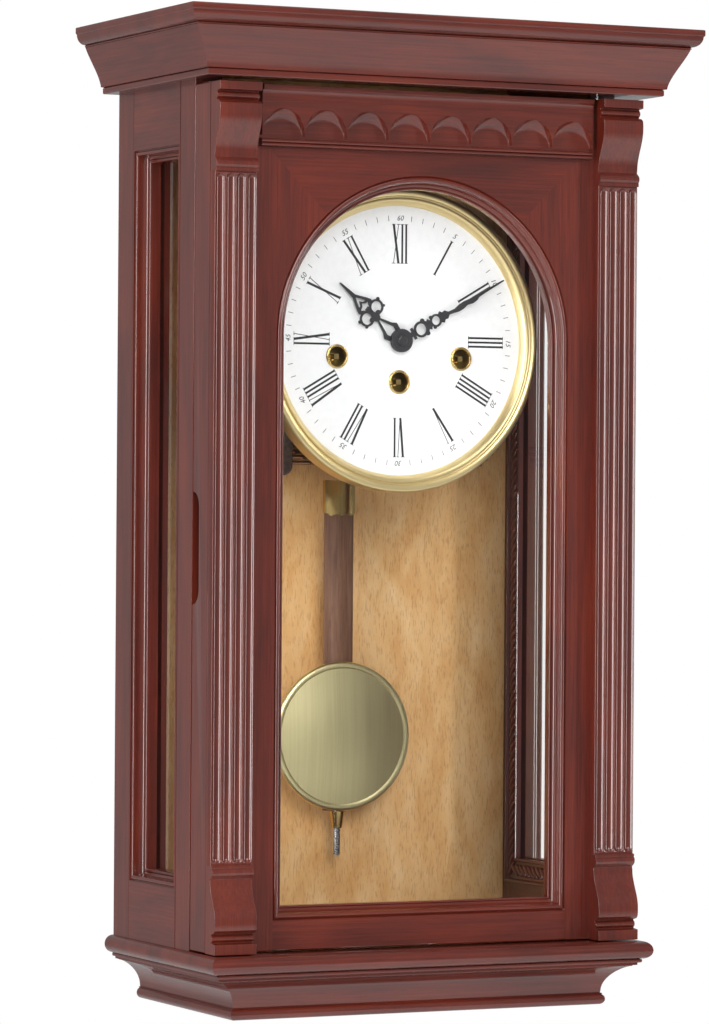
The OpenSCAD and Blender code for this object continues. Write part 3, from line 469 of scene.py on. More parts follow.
z0, z1 = COVE_LOW.z, COVE_HIGH.z
INSET = 20.0
cove = [(6.3, z1), (6.3, z1 - 0.7), (7.0, z1 - 0.9)]
cove += [(x - 20 + 1.5 + 32 - 0, z) for x, z in []]
cove += [(-(32 - INSET + 1.5) - 32 * math.cos(math.radians(a)), z0 + 4 + 32 * math.sin(math.radians(a)))
         for a in []]
for k in range(15):
    t = k / 14
    a = math.radians(62 - 60 * t)
    cove.append((INSET + 12 - 1.5 - 0 + 0 - (12 + 1.0) + 0 - 13.2 * math.sin(a) ** 1.6, z0 + 4.3 + 24.4 * (1 - t)))
cove += [(INSET - 0.2, z0 + 4.0), (INSET - 1.0, z0 + 3.8), (INSET - 1.2, z0 + 3.2), (INSET - 1.2, z0 + 0.6),
         (INSET - 0.6, z0), (48, z0), (48, z1)]
verts, faces, grain = sweep(u_path(CAP_LOW), cove, on_plan, corners=(1, 2))
solid("cornice_cove", verts, faces, MAHOGANY, "case", grain=grain, clean=False, nodes=["cornice_mouldings"], smooth=40)

nz = (NOSE_HIGH.z + NOSE_LOW.z) / 2
nr = (NOSE_HIGH.z - NOSE_LOW.z) / 2
nose = [(nr + 1, NOSE_HIGH.z)] + [(nr - nr * math.sin(math.radians(a)), nz + nr * math.cos(math.radians(a)))
                                 for a in range(0, 181, 15)] + [(nr + 1, NOSE_LOW.z)]
board("base_top_board", nose, NOSE_LOW, MAHOGANY, ["base_board"])

f1, f0 = FOOT_HIGH.z, FOOT_LOW.z
foot = [(7, f1), (5.4, f1 - 0.4), (5.2, f1 - 1.4), (5.6, f1 - 2.3), (7.4, f1 - 2.8), (7.4, f1 - 4.0), (9.6, f1 - 4.4)]
foot += [(9.8 + 14.6 * math.sin(math.radians(90 * k / 12)) ** 1.25, f1 - 4.8 - 16.6 * (1 - math.cos(math.radians(90 * k / 12))) ** 0.9)
         for k in range(13)]
foot += [(24.6, f0 + 7.4), (23.4, f0 + 7.1)]
foot += [(22.2 + 3.5 - 3.5 * math.cos(math.radians(a)), f0 + 3.5 + 3.5 * math.sin(math.radians(a))) for a in range(60, -91, -15)]
foot += [(39.9, f0), (39.9, f1)]
verts, faces, grain = sweep(u_path(NOSE_LOW), foot, on_plan, corners=(1, 2))
solid("base_cove", verts, faces, MAHOGANY, "case", grain=grain, clean=False, nodes=["base_mouldings"], smooth=40)

# ---------- case ----------
for node in ("side_frame_left", "side_frame_right"):
    soften(node + "_eased", node, MAHOGANY, "case", 0.8,
           edge=lambda a, b: abs(abs(a.x) - HALF_W) < 0.05 and abs(abs(b.x) - HALF_W) < 0.05
           and abs(a.y - b.y) < 0.05 and abs(a.z - b.z) > 400)
soften("ceiling_board_eased", "ceiling_board", MAHOGANY, "case", 0.5)
soften("movement_cheeks_eased", "movement_cheeks", MAPLE, "case", 0.5)
soften("back_panel_eased", "back_panel", MAPLE, "case", 0.3)

# Beads round the side windows: fillet, quirk, bead, cove and inner bead
BEAD_LOW, BEAD_HIGH = span("side_beads")
bead_w, bead_t = 8.7, BEAD_HIGH.x - span("side_glass")[1].x
bead_profile = [(0, 0), (0.9, 0), (1.0, 1.3), (1.5, 1.5)]
bead_profile += arc(2.7, 1.4, 1.2, 180, 0, 8)
bead_profile = [(o, -d if k >= 4 else d) for k, (o, d) in enumerate(bead_profile)]
bead_profile = [(0, 0), (0.9, 0.0), (1.0, 1.5), (1.5, 1.6)]
bead_profile += [(x, 1.6 - (y - 1.6)) for x, y in arc(2.8, 1.6, 1.3, 180, 0, 8)]
bead_profile += [(4.1, 2.6)] + [(4.1 + 2.3 * (1 - math.cos(math.radians(a))), 2.6 + 5.0 * math.sin(math.radians(a)))
                                for a in range(10, 91, 16)]
bead_profile += [(x, 8.6 - (y - 8.6)) for x, y in arc(7.4, 8.6, 1.1, 180, 0, 8)]
bead_profile += [(bead_w, 9.2), (bead_w, bead_t), (0, bead_t)]
win = [(BEAD_LOW.y, BEAD_LOW.z), (BEAD_HIGH.y, BEAD_LOW.z), (BEAD_HIGH.y, BEAD_HIGH.z), (BEAD_LOW.y, BEAD_HIGH.z)]
for side in (-1, 1):
    v, f, g = sweep(win, bead_profile, lambda y, z, d, s=side: (s * (HALF_W - d), y, z), closed=True, corners=(1, 2, 3))
    solid("window_beads_" + ("left" if side < 0 else "right"), v, f, MAHOGANY, "case", grain=g, clean=False,
          nodes=["side_beads"], smooth=40)

# Rope mouldings: a flat strip with two fillets, and slanting strands laid along it
ROPE_LOW, ROPE_HIGH = span("rope_mouldings")
rope_w, rope_x0, rope_x1 = 16.0, ROPE_HIGH.x - 6.0, ROPE_HIGH.x
rope_path = [(ROPE_LOW.y, ROPE_LOW.z), (ROPE_HIGH.y, ROPE_LOW.z), (ROPE_HIGH.y, ROPE_HIGH.z), (ROPE_LOW.y, ROPE_HIGH.z)]
strip = [(0, 0), (0, 3.4), (0.4, 3.8), (1.6, 3.8), (2.0, 3.4), (2.6, 1.6), (13.4, 1.6), (14.0, 3.4), (14.4, 3.8),
         (15.6, 3.8), (16, 3.4), (16, 0)]
for side in (-1, 1):
    v, f, g = sweep(rope_path, strip, lambda y, z, d, s=side: (s * (rope_x1 - d), y, z), closed=True, corners=(1, 2, 3))
    solid("rope_strip_" + ("left" if side < 0 else "right"), v, f, MAHOGANY, "case", grain=g, clean=False,
          nodes=["rope_mouldings"], smooth=40)


def rope_row(length, pitch):
    """One straight row of strands along Z, in metres, from Geometry Nodes."""
    rings, spokes = 7, 8
    v, f = [], []
    for r in range(rings + 1):
        t = math.pi * r / rings
        for s in range(spokes):
            a = 2 * math.pi * s / spokes
            v.append((1.75 * math.sin(t) * math.cos(a), 1.55 * math.sin(t) * math.sin(a), -6.0 * math.cos(t)))
    for r in range(rings):
        for s in range(spokes):
            a, b = r * spokes + s, r * spokes + (s + 1) % spokes
            f.append((a, b, b + spokes, a + spokes))
    unit = unit_mesh("strand", v, f, MAHOGANY)

    def lay(tree, given):
        line = put(tree, "GeometryNodeMeshLine", {"mode": "OFFSET"}, {
            "Count": given["Count"],
            "Offset": put(tree, "ShaderNodeCombineXYZ", inputs={"Z": given["Pitch"]}).outputs[0]})
        return put(tree, "GeometryNodeInstanceOnPoints", inputs={
            "Points": line.outputs[0], "Instance": given["Geometry"],
            "Rotation": (0.0, math.radians(38), 0.0)}).outputs[0]

    return repeat("rope", unit, {"Count": int(length / pitch), "Pitch": pitch * MM}, lay)


strands = bmesh.new()
mid = rope_w / 2
for a, b in zip(rope_path, rope_path[1:] + rope_path[:1]):
    a, b = Vector(a), Vector(b)
    way = (b - a).normalized()
    inward = Vector((-way.y, way.x))
    row = rope_row((b - a).length - 2 * mid + 4, 5.6)
    start = a + way * (mid + 1) + inward * mid
    for side in (-1, 1):
        x = side * (rope_x1 - 2.2)
        turn = Matrix(((0, -side, 0, x * MM), (inward.x, 0, way.x, start.x * MM), (inward.y, 0, way.y, start.y * MM),
                       (0, 0, 0, 1)))
        copy = row.copy()
        copy.transform(turn)
        strands.from_mesh(copy)
bmesh.ops.recalc_face_normals(strands, faces=strands.faces)
grain_by_length(strands)
rope_mesh = bpy.data.meshes.new("rope_strands")
strands.to_mesh(rope_mesh)
strands.free()
settle("rope_strands", rope_mesh, MAHOGANY, "case", smooth=60)

# ---------- door ----------
for node in ("door_stile_left", "door_stile_right", "door_top_rail", "door_bottom_rail"):
    soften(node + "_eased", node, MAHOGANY, "door", 1.0, segments=3, edge=lambda a, b: (
        all(abs(abs(p.x) - HALF_W) < 0.05 for p in (a, b)) or all(abs(p.z - DOOR_HIGH.z) < 0.05 for p in (a, b))
        or all(abs(p.z - DOOR_LOW.z) < 0.05 for p in (a, b))))
soften("glass_beads_eased", "glass_beads", MAHOGANY, "door", 0.6)

leg = ARCH_LOW.z
opening = [(ARCH_R, leg)] + [(ARCH_R * math.cos(math.radians(a)), DIAL_Z + ARCH_R * math.sin(math.radians(a)))
                             for a in range(0, 181, 3)] + [(-ARCH_R, leg)]
arch_profile = [(0, 0.0), (0.3, 0.9), (0.9, 1.3)]
arch_profile += [(x, 1.3 - (y - 1.3)) for x, y in arc(2.3, 1.3, 1.4, 180, 0, 8)]
arch_profile += [(3.9, 2.6), (4.3, 3.0)]
arch_profile += [(4.3 + 2.4 * (1 - math.cos(math.radians(a))), 3.0 + 4.2 * math.sin(math.radians(a)))
                 for a in range(15, 91, 15)]
arch_profile += [(x, 7.6 - (y - 7.6)) for x, y in arc(7.5, 7.6, 0.8, 170, 0, 6)]
arch_profile += [(8.3, 8.6), (8.3, 12), (0, 12)]
v, f, g = sweep(opening, arch_profile, lambda x, z, d: (x, FACE_Y + d, z), closed=True,
                corners=(1, len(opening) - 2, len(opening) - 1))
solid("arch_moulding_run", v, f, MAHOGANY, "door", grain=g, clean=False, nodes=["arch_moulding"], smooth=45)

# Pilaster shafts with flutes that end in round noses
SHAFT_LOW, SHAFT_HIGH = span("pilaster_shafts")
PIL_W = 27.8
shaft_t = FACE_Y - SHAFT_LOW.y
flutes, flute_r = 4, 3.1


def flute_row(r_eff):
    """Depth of a row across the shaft, at a place where the flutes have radius r_eff."""
    pitch = PIL_W / flutes
    row = [(0.0, shaft_t), (0.0, 0.5), (0.15, 0.12), (0.45, 0.0)]
    for k in range(flutes):
        half = math.acos(min(1.0, 1 / max(r_eff, 1.0)))
        c = (k + 0.5) * pitch
        edge = r_eff * math.sin(half)
        row.append((c - edge - 0.12 if half else c, 0.0))
        for j in range(1, 12):
            a = -half + 2 * half * j / 12
            row.append((c + max(r_eff, 1) * math.sin(a), max(r_eff, 1) * math.cos(a) - 1))
        row.append((c + edge + 0.12 if half else c, 0.0))
    return row + [(PIL_W - 0.45, 0.0), (PIL_W - 0.15, 0.12), (PIL_W, 0.5), (PIL_W, shaft_t)]


levels = [(SHAFT_LOW.z, 1.0)]
for k in range(9):
    a = math.radians(90 * k / 8)
    levels.append((SHAFT_LOW.z + 1.5 + flute_r * (1 - math.sin(a)) if False else SHAFT_LOW.z + 1 + flute_r - flute_r * math.cos(a),
                   max(1.0, flute_r * math.sin(a))))
levels += [(SHAFT_LOW.z + SHAFT_HIGH.z - z, r) for z, r in reversed(levels)]
for side in (-1, 1):
    v, f = [], []
    for z, r in levels:
        row = flute_row(r)
        v += [(side * (HALF_W - PIL_W + x), FACE_Y - shaft_t + d, z) for x, d in row]
    n = len(row)
    for r in range(len(levels) - 1):
        f += [(r * n + j, r * n + j + 1, (r + 1) * n + j + 1, (r + 1) * n + j) for j in range(n - 1)]
        f.append((r * n, (r + 1) * n, (r + 1) * n + n - 1, r * n + n - 1))
    f += [tuple(range(n)), tuple(reversed(range(len(v) - n, len(v))))]
    solid("pilaster_shaft_" + ("left" if side < 0 else "right"), v, f, MAHOGANY, "door", nodes=["pilaster_shafts"], smooth=70)


def pilaster_blocks(name, node, outline):
    """The moulded block across both pilasters, from its outline in depth and height."""
    for side in (-1, 1):
        n = len(outline)
        v = [(side * x, FACE_Y - d, z) for x in (HALF_W - PIL_W, HALF_W) for d, z in outline]
        f = [tuple(range(n)), tuple(reversed(range(n, 2 * n)))]
        f += [(k, (k + 1) % n, n + (k + 1) % n, n + k) for k in range(n)]
        solid(name + ("_left" if side < 0 else "_right"), v, f, MAHOGANY, "door", nodes=[node], smooth=32, bevel=0.45, segments=3)


def sway(p0, p1, z0, z1, n):
    """Points along a smooth S."""
    return [(p0 + (p1 - p0) * (1 - math.cos(math.pi * k / n)) / 2, z0 + (z1 - z0) * k / n) for k in range(n + 1)]


z = span("pilaster_capitals")[1].z
pilaster_blocks("pilaster_capital", "pilaster_capitals",
                [(0, z), (14.0, z), (14.0, z - 5.2), (8.6, z - 5.8)]
                + [(8.2 + 1.9 * math.sin(math.radians(a)), z - 8.3 + 2.0 * math.cos(math.radians(a))) for a in range(15, 166, 25)]
                + [(8.2, z - 10.9), (12.2, z - 11.8), (13.7, z - 13.2), (14.1, z - 15.6)]
                + sway(14.1, 6.6, z - 18, z - 43.5, 18)
                + [(6.2, z - 45.4)]
                + [(7.0 + 2.6 * math.sin(math.radians(a)), z - 49.4 + 2.7 * math.cos(math.radians(a))) for a in range(30, 151, 20)]
                + [(8.6, z - 52), (8.6, span("pilaster_capitals")[0].z), (0, span("pilaster_capitals")[0].z)])
z = span("pilaster_bases")[0].z
pilaster_blocks("pilaster_base", "pilaster_bases",
                [(0, z), (14.0, z), (14.0, z + 6.3), (8.6, z + 7)]
                + [(8.2 + 1.9 * math.sin(math.radians(a)), z + 9.5 - 2.0 * math.cos(math.radians(a))) for a in range(15, 166, 25)]
                + [(8.2, z + 12.2), (12.2, z + 13.2), (13.7, z + 14.6), (14.1, z + 17)]
                + sway(14.1, 6.6, z + 20, z + 43.5, 18)
                + [(6.2, z + 45.2)]
                + [(7.0 + 2.6 * math.sin(math.radians(a)), z + 49.2 - 2.7 * math.cos(math.radians(a))) for a in range(30, 151, 20)]
                + [(8.6, z + 51.9), (8.6, span("pilaster_bases")[1].z), (0, span("pilaster_bases")[1].z)])

# Frieze: a row of scooped arches, a cove above them and a double bead below
FRZ_LOW, FRZ_HIGH = span("frieze")
arches = 8
cell = 2 * FRZ_HIGH.x / arches
front = 5.6
scoop = 4.4
zt, zb = FRZ_HIGH.z, FRZ_LOW.z
arch_top, inner_top, spring = zt - 14, zt - 22, zt - 30.6


def frieze_cell():
    """One arch of the frieze, closed at its back."""
    cols, rows = 28, 7
    sheet = []
    for k in range(cols + 1):
        a = math.pi * (1 - k / cols)
        x = cell / 2 * math.cos(a)
        outer = spring + (arch_top - spring) * math.sin(a) ** 0.9
        inner = spring + (inner_top - spring) * math.sin(a) ** 0.9
        column = [(x, front, zt - 9)]
        for r in range(rows + 1):
            s = r / rows
            column.append((x, front - scoop * math.sin(math.pi / 2 * s) ** 0.8, outer + (inner - outer) * s))
        column.append((x, front - scoop, zb + 4.6))
        sheet.append(column)
    n = len(sheet[0])
    v = [(x, FACE_Y - d, z) for column in sheet for x, d, z in column]
    f = [(c * n + r, (c + 1) * n + r, (c + 1) * n + r + 1, c * n + r + 1) for c in range(cols) for r in range(n - 1)]
    back = len(v)
    v += [(x, FACE_Y, z) for column in sheet for x, d, z in (column[0], column[-1])]
    for c in range(cols):
        b = back + 2 * c
        f += [(b, b + 1, b + 3, b + 2), (c * n, b, b + 2, (c + 1) * n), (c * n + n - 1, (c + 1) * n + n - 1, b + 3, b + 1)]
    f += [tuple([back + 1, back] + list(range(n))), tuple([back + 2 * cols, back + 2 * cols + 1] + [cols * n + r for r in reversed(range(n))])]
    return v, f


def lay_cells(tree, given):
    line = put(tree, "GeometryNodeMeshLine", {"mode": "OFFSET"}, {
        "Count": given["Count"],
        "Start Location": put(tree, "ShaderNodeCombineXYZ", inputs={"X": given["Start"]}).outputs[0],
        "Offset": put(tree, "ShaderNodeCombineXYZ", inputs={"X": given["Pitch"]}).outputs[0]})
    return put(tree, "GeometryNodeInstanceOnPoints", inputs={
        "Points": line.outputs[0], "Instance": given["Geometry"]}).outputs[0]


v, f = frieze_cell()
cells = repeat("frieze_arches", unit_mesh("arch_cell", v, f, MAHOGANY),
               {"Count": arches, "Pitch": cell * MM, "Start": -(arches - 1) / 2 * cell * MM}, lay_cells)
bm = bmesh.new()
bm.from_mesh(cells)
grain_layer = bm.verts.layers.float_vector.new("grain")
for p in bm.verts:
    p[grain_layer] = (p.co.x, p.co.z, p.co.y)
bm.to_mesh(cells)
bm.free()
settle("frieze_arches", cells, MAHOGANY, "door", nodes=["frieze"], smooth=40)
rail_x = (-FRZ_HIGH.x, FRZ_HIGH.x)
head = [(0, zt), (8.0, zt), (8.0, zt - 2.2), (7.2, zt - 3)]
head += [(7.2 - 1.6 * math.sin(math.radians(a)), zt - 3.0 - 5.6 * (1 - math.cos(math.radians(a)))) for a in range(10, 91, 16)]
head += [(front, zt - 9.1), (0, zt - 9.1)]
toe = [(0, zb + 4.7), (3.6, zb + 4.7), (4.0, zb + 4.4)]
toe += [(4.2 + 1.2 * math.sin(math.radians(a)), zb + 3.3 + 1.1 * math.cos(math.radians(a))) for a in range(10, 171, 32)]
toe += [(3.8, zb + 2.0)]
toe += [(4.2 + 1.0 * math.sin(math.radians(a)), zb + 1.0 + 0.9 * math.cos(math.radians(a))) for a in range(10, 171, 32)]
toe += [(3.0, zb), (0, zb)]
for name, outline in (("frieze_head", head), ("frieze_toe", toe)):
    n = len(outline)
    v = [(x, FACE_Y - d, z) for x in rail_x for d, z in outline]
    f = [tuple(range(n)), tuple(reversed(range(n, 2 * n)))] + [(k, (k + 1) % n, n + (k + 1) % n, n + k) for k in range(n)]
    solid(name, v, f, MAHOGANY, "door", nodes=["frieze"], smooth=40)

# ---------- dial ----------
def bezel_outline():
    r, y = BEZEL_R, DIAL_Y
    pts = [(r - 3, y + 7.8), (r - 0.2, y + 7.8), (r, y + 7.4), (r, y - 4.0)]
    pts += [(r - 1.9 + 1.9 * math.cos(math.radians(a)), y - 4.1 - 1.9 * math.sin(math.radians(a))) for a in range(15, 91, 15)]
    pts += [(r - 3.6, y - 5.95), (r - 4.5, y - 5.4), (r - 4.9, y - 4.6), (r - 5.7, y - 4.4), (r - 6.2, y - 5.2), (r - 6.9, y - 5.3)]
    pts += [(r - 7.6 - 3.0 * k / 5, y - 5.0 + 3.9 * (k / 5) ** 1.3) for k in range(6)]
    return pts + [(r - 10.7, y - 0.4), (r - 10.7, y - 0.02), (r - 3, y - 0.02)]


v, f = lathe(bezel_outline(), (0, 0, DIAL_Z), "Y", 160)
solid("dial_bezel_ring", v, f, BEZEL_BRASS, "case", nodes=["dial_bezel"], smooth=32)

GR_LOW, GR_HIGH = span("winding_grommets")
holes = [(-43, span("strike_arbor")), (0, span("time_arbor")), (43, span("chime_arbor"))]
holes = [((low.x + high.x) / 2, (low.z + high.z) / 2) for _, (low, high) in holes]
parts = []
for x, z in holes:
    ring = [(5.75, DIAL_Y + 1.4), (6.5, DIAL_Y + 1.4), (6.5, DIAL_Y - 0.02), (7.5, DIAL_Y - 0.02), (7.5, DIAL_Y - 0.4),
            (7.1, DIAL_Y - 0.85), (6.6, DIAL_Y - 1.0), (6.1, DIAL_Y - 0.85), (5.75, DIAL_Y - 0.3)]
    parts.append(lathe(ring, (x, 0, z), "Y", 48))
v, f = gather(parts)
solid("winding_hole_grommets", v, f, BRASS, "case", nodes=["winding_grommets"], smooth=40)


def turned(points, angle, radius):
    """Points drawn upright, with their foot at the centre, turned clockwise and moved out from the dial's centre."""
    a = math.radians(angle)
    return [(x * math.cos(a) + (y + radius) * math.sin(a), DIAL_Z - x * math.sin(a) + (y + radius) * math.cos(a))
            for x, y in points]


def bar(x0, y0, x1, y1, w):
    """A slanting stroke with level ends, w wide along X."""
    return [(x0 - w / 2, y0), (x0 + w / 2, y0), (x1 + w / 2, y1), (x1 - w / 2, y1)]


def numeral(text, h):
    """The strokes of a roman numeral of height h, centred, its parts as outlines."""
    widths = {"I": 2.7, "V": 5.6, "X": 5.9}
    total = sum(widths[c] for c in text)
    x, strokes = -total / 2, []
    for c in text:
        m = x + widths[c] / 2
        if c == "I":
            strokes += [bar(m, 0.2, m, h - 0.2, 1.25), bar(m, 0, m, 0.4, 2.3), bar(m, h - 0.4, m, h, 2.3)]
        if c == "V":
            strokes += [bar(m - 1.7, h - 0.2, m + 0.3, 0, 1.5), bar(m + 1.8, h - 0.2, m + 0.5, 0, 0.45)]
            strokes += [bar(m - 1.7, h - 0.4, m - 1.7, h, 2.7), bar(m + 1.8, h - 0.4, m + 1.8, h, 1.8)]
        if c == "X":
            strokes += [bar(m - 1.7, h - 0.2, m + 1.7, 0.2, 1.55), bar(m + 1.7, h - 0.2, m - 1.7, 0.2, 0.45)]
            strokes += [bar(m + k * 1.7, e, m + k * 1.7, e + 0.4, 2.3) for k in (-1, 1) for e in (0, h - 0.4)]
        x += widths[c]
    return strokes


INK_T = 0.06
parts = []
for hour, text in enumerate(["XII", "I", "II", "III", "IIII", "V", "VI", "VII", "VIII", "IX", "X", "XI"]):
    for k, stroke in enumerate(numeral(text, 24.6)):
        step = 0.004 * (k % 3)
        parts.append(prism(turned(stroke, hour * 30, 48.1), DIAL_Y, DIAL_Y - INK_T - step))
v, f = gather(parts)
solid("dial_numerals", v, f, INK, "case", clean=False, smooth=30)


def lay_ticks(tree, given):
    circle = put(tree, "GeometryNodeMeshCircle", inputs={"Vertices": given["Count"], "Radius": given["Radius"]})
    index = put(tree, "GeometryNodeInputIndex").outputs[0]
    angle = put(tree, "ShaderNodeMath", {"operation": "DIVIDE"}, {0: index, 1: given["Count"]}).outputs[0]
    turn = put(tree, "ShaderNodeMath", {"operation": "MULTIPLY"}, {0: angle, 1: 2 * math.pi}).outputs[0]
    spin = put(tree, "ShaderNodeCombineXYZ", inputs={"Z": turn}).outputs[0]
    fifth = put(tree, "ShaderNodeMath", {"operation": "MODULO"}, {0: index, 1: 5.0}).outputs[0]
    keep = put(tree, "ShaderNodeMath", {"operation": "GREATER_THAN"}, {0: fifth, 1: 0.5}).outputs[0]
    return put(tree, "GeometryNodeInstanceOnPoints", inputs={
        "Points": circle.outputs[0], "Instance": given["Geometry"], "Selection": keep, "Rotation": spin}).outputs[0]


tick = unit_mesh("minute_tick", [(x, y, z) for x in (-1.7, 1.7) for y in (-0.17, 0.17) for z in (0, INK_T)],
                 [(0, 1, 3, 2), (4, 6, 7, 5), (0, 4, 5, 1), (2, 3, 7, 6), (0, 2, 6, 4), (1, 5, 7, 3)], INK)
ticks = repeat("minute_ticks", tick, {"Count": 60, "Radius": 76.4 * MM}, lay_ticks)
ticks.transform(Matrix.Translation(Vector((0, DIAL_Y, DIAL_Z)) * MM) @ Euler((math.pi / 2, 0, 0)).to_matrix().to_4x4())
settle("dial_minute_ticks", ticks, INK, "case")

bm = bmesh.new()
for k in range(12):
    curve = bpy.data.curves.new("minute_number", "FONT")
    curve.body = str(5 * (k or 12))
    curve.size = 4.6 * MM
    curve.shear = 0.25
    curve.align_x = "CENTER"
    curve.align_y = "CENTER"
    curve.extrude = INK_T * MM / 2
    curve.resolution_u = 3
    curve.materials.append(INK)
    word = bpy.data.objects.new("minute_number", curve)
    scene.collection.objects.link(word)
    graph = bpy.context.evaluated_depsgraph_get()
    mesh = bpy.data.meshes.new_from_object(word.evaluated_get(graph), depsgraph=graph)
    bpy.data.objects.remove(word)
    a = math.radians(30 * k)
    centre = Vector((76.3 * math.sin(a), DIAL_Y - INK_T / 2, DIAL_Z + 76.3 * math.cos(a))) * MM
    mesh.transform(Matrix.Translation(centre) @ Matrix.Rotation(a, 4, "Y") @ Euler((math.pi / 2, 0, 0)).to_matrix().to_4x4())
    bm.from_mesh(mesh)
numbers = bpy.data.meshes.new("dial_minute_numbers")
bm.to_mesh(numbers)
bm.free()
settle("dial_minute_numbers", numbers, INK, "case")


# ---------- hands ----------
def ring_shape(cx, cy, r, wall, n=28):
    """A flat ring as a strip of four-sided outlines."""
    out = arc(cx, cy, r, 0, 360, n)
    inn = arc(cx, cy, r - wall, 0, 360, n)
    return [[out[k], out[k + 1], inn[k + 1], inn[k]] for k in range(n)]


def blob(cx, cy, r, n=18):
    return [arc(cx, cy, r, 0, 360, n)[:-1]]


def hand(name, shapes, y, t, angle, body, nodes):
    """A pierced hand from overlapping outlines, each a hair thicker than the last so that none coincide."""
    parts = []
    for k, shape in enumerate(shapes):
        parts.append(prism(turned(shape, angle, 0), y + 0.003 * (k % 7), y - t - 0.003 * (k % 7)))
    v, f = gather(parts)
    return solid(name, v, f, HAND_BLACK, body, nodes=nodes, clean=False, smooth=30)


def both(shapes):
    return shapes + [[(-x, y) for x, y in s] for s in shapes]


HH_LOW, HH_HIGH = span("hour_hand")
MH_LOW, MH_HIGH = span("minute_hand")
hub = [[(7.3 * math.sin(math.radians(a + d * 6)), 7.3 * math.cos(math.radians(a + d * 6))) for d in (0, 1)]
       + [(3.3 * math.sin(math.radians(a + d * 6)), 3.3 * math.cos(math.radians(a + d * 6))) for d in (1, 0)]
       for a in range(0, 360, 6)]
hour_shapes = list(hub)
hour_shapes += both([[(2.4, 6.2), (5.2, 5.0), (6.6, 9.4), (4.4, 12.2), (1.2, 20.5), (0.0, 20.5), (2.6, 12.0), (3.4, 9.6)]])
hour_shapes += blob(0, 21.8, 2.5) + [[(-1.3, 20), (1.3, 20), (1.5, 31), (-1.5, 31)]]
hour_shapes += both(ring_shape(5.0, 26.4, 4.9, 1.35) + blob(3.2, 23.2, 1.6) + blob(9.6, 28.8, 1.1) + blob(9.0, 23.2, 0.9))
hour_shapes += both([[(2.2, 30.2), (5.6, 30.6), (6.2, 32.4), (5.2, 35.0), (3.6, 38.0), (1.2, 42.6), (0.0, 43.0), (0.0, 41.0),
                      (2.0, 37.6), (3.5, 34.4), (3.6, 32.4), (2.6, 31.6)]])
hour_shapes += [[(-4.4, 33.0), (-1.6, 33.6), (0, 35.4), (1.6, 33.6), (4.4, 33.0), (4.0, 34.4), (1.5, 35.2), (0, 37.4),
                 (-1.5, 35.2), (-4.0, 34.4)]]
hour_shapes += [[(-1.4, 41.0), (1.4, 41.0), (1.0, 47), (0.45, 54.6), (0, 55.0), (-0.45, 54.6), (-1.0, 47)]]
hand("hour_hand_pierced", hour_shapes, HH_HIGH.y, 0.8, -50.5, "hour", ["hour_hand"])

minute_shapes = list(hub)
minute_shapes += [[(-3.8, 8.2), (3.8, 8.2), (3.8, 10.0), (-3.8, 10.0)], [(-1.5, 6.5), (1.5, 6.5), (1.6, 11), (-1.6, 11)]]
minute_shapes += ring_shape(0, 15.0, 5.1, 1.5) + both(blob(4.4, 18.2, 1.4)) + [[(-4.6, 18.8), (4.6, 18.8), (2.6, 20.4), (3.6, 21.8),
                 (1.8, 23.2), (-1.8, 23.2), (-3.6, 21.8), (-2.6, 20.4)]]
minute_shapes += ring_shape(0, 26.8, 4.1, 1.3) + both(blob(3.4, 24.4, 1.1))
minute_shapes += [[(-2.6, 29.6), (2.6, 29.6), (4.0, 31.6), (2.4, 33.0), (2.8, 35.0), (1.0, 37.0), (-1.0, 37.0), (-2.8, 35.0),
                   (-2.4, 33.0), (-4.0, 31.6)]]
minute_shapes += [[(-0.9, 36.4), (1.0, 36.4), (1.7, 40.0), (2.6, 44.0), (2.5, 47.6), (1.7, 51.0), (2.6, 55.0), (2.2, 58.6),
                   (1.1, 60.6), (0.8, 66.0), (0.45, 80.8), (0, 81.4), (-0.45, 80.8), (-0.8, 66.0), (-1.0, 60.0), (-1.0, 54.0),
                   (-1.5, 50.0), (-1.3, 46.0), (-0.4, 42.0)]]
hand("minute_hand_pierced", minute_shapes, MH_HIGH.y, 0.8, 61.0, "minute", ["minute_hand"])
NUT_LOW, NUT_HIGH = span("hand_nut")
cap = [(0, NUT_LOW.y - 0.25)] + [(3.0 * math.sin(math.radians(a)), NUT_LOW.y - 0.25 + 0.9 * (1 - math.cos(math.radians(a)))) for a in range(15, 76, 15)]
nut = [(0.01, NUT_HIGH.y)] + [(3.4, NUT_HIGH.y), (3.3, NUT_LOW.y + 0.6), (2.9, NUT_LOW.y + 0.25), (2.3, NUT_LOW.y + 0.2), (2.2, NUT_LOW.y),
      (1.0, NUT_LOW.y - 0.1), (0.01, NUT_LOW.y - 0.12)]
v, f = lathe(nut, (0, 0, DIAL_Z), "Y", 40)
solid("hand_nut_cap", v, f, HAND_BLACK, "minute", nodes=["hand_nut"], smooth=40)

# ---------- pendulum ----------
BOB_LOW, BOB_HIGH = span("bob")
bob_z = (BOB_LOW.z + BOB_HIGH.z) / 2
bob_r = BOB_HIGH.x
yb, yf = BOB_HIGH.y, BOB_LOW.y
disc = [(0.01, yb), (bob_r - 1.2, yb)] + [(bob_r - 1.6 + 1.6 * math.cos(math.radians(a)), yb - 2.3 - 2.2 * math.sin(math.radians(a)))
                                        for a in range(-75, 76, 15)]
disc += [(bob_r - 2.2, yb - 4.75), (bob_r - 3.3, yb - 4.6), (bob_r - 4.1, yb - 3.95)]
disc += [((bob_r - 4.3) * (1 - k / 14), yb - 3.8 + (yf + 3.8 - yb) * math.sin(math.radians(90 * k / 14))) for k in range(14)]
disc += [(0.01, yf)]
v, f = lathe(disc, (0, 0, bob_z), "Y", 128)
solid("bob_disc", v, f, BOB_BRASS, "pendulum", nodes=["bob"], smooth=30)

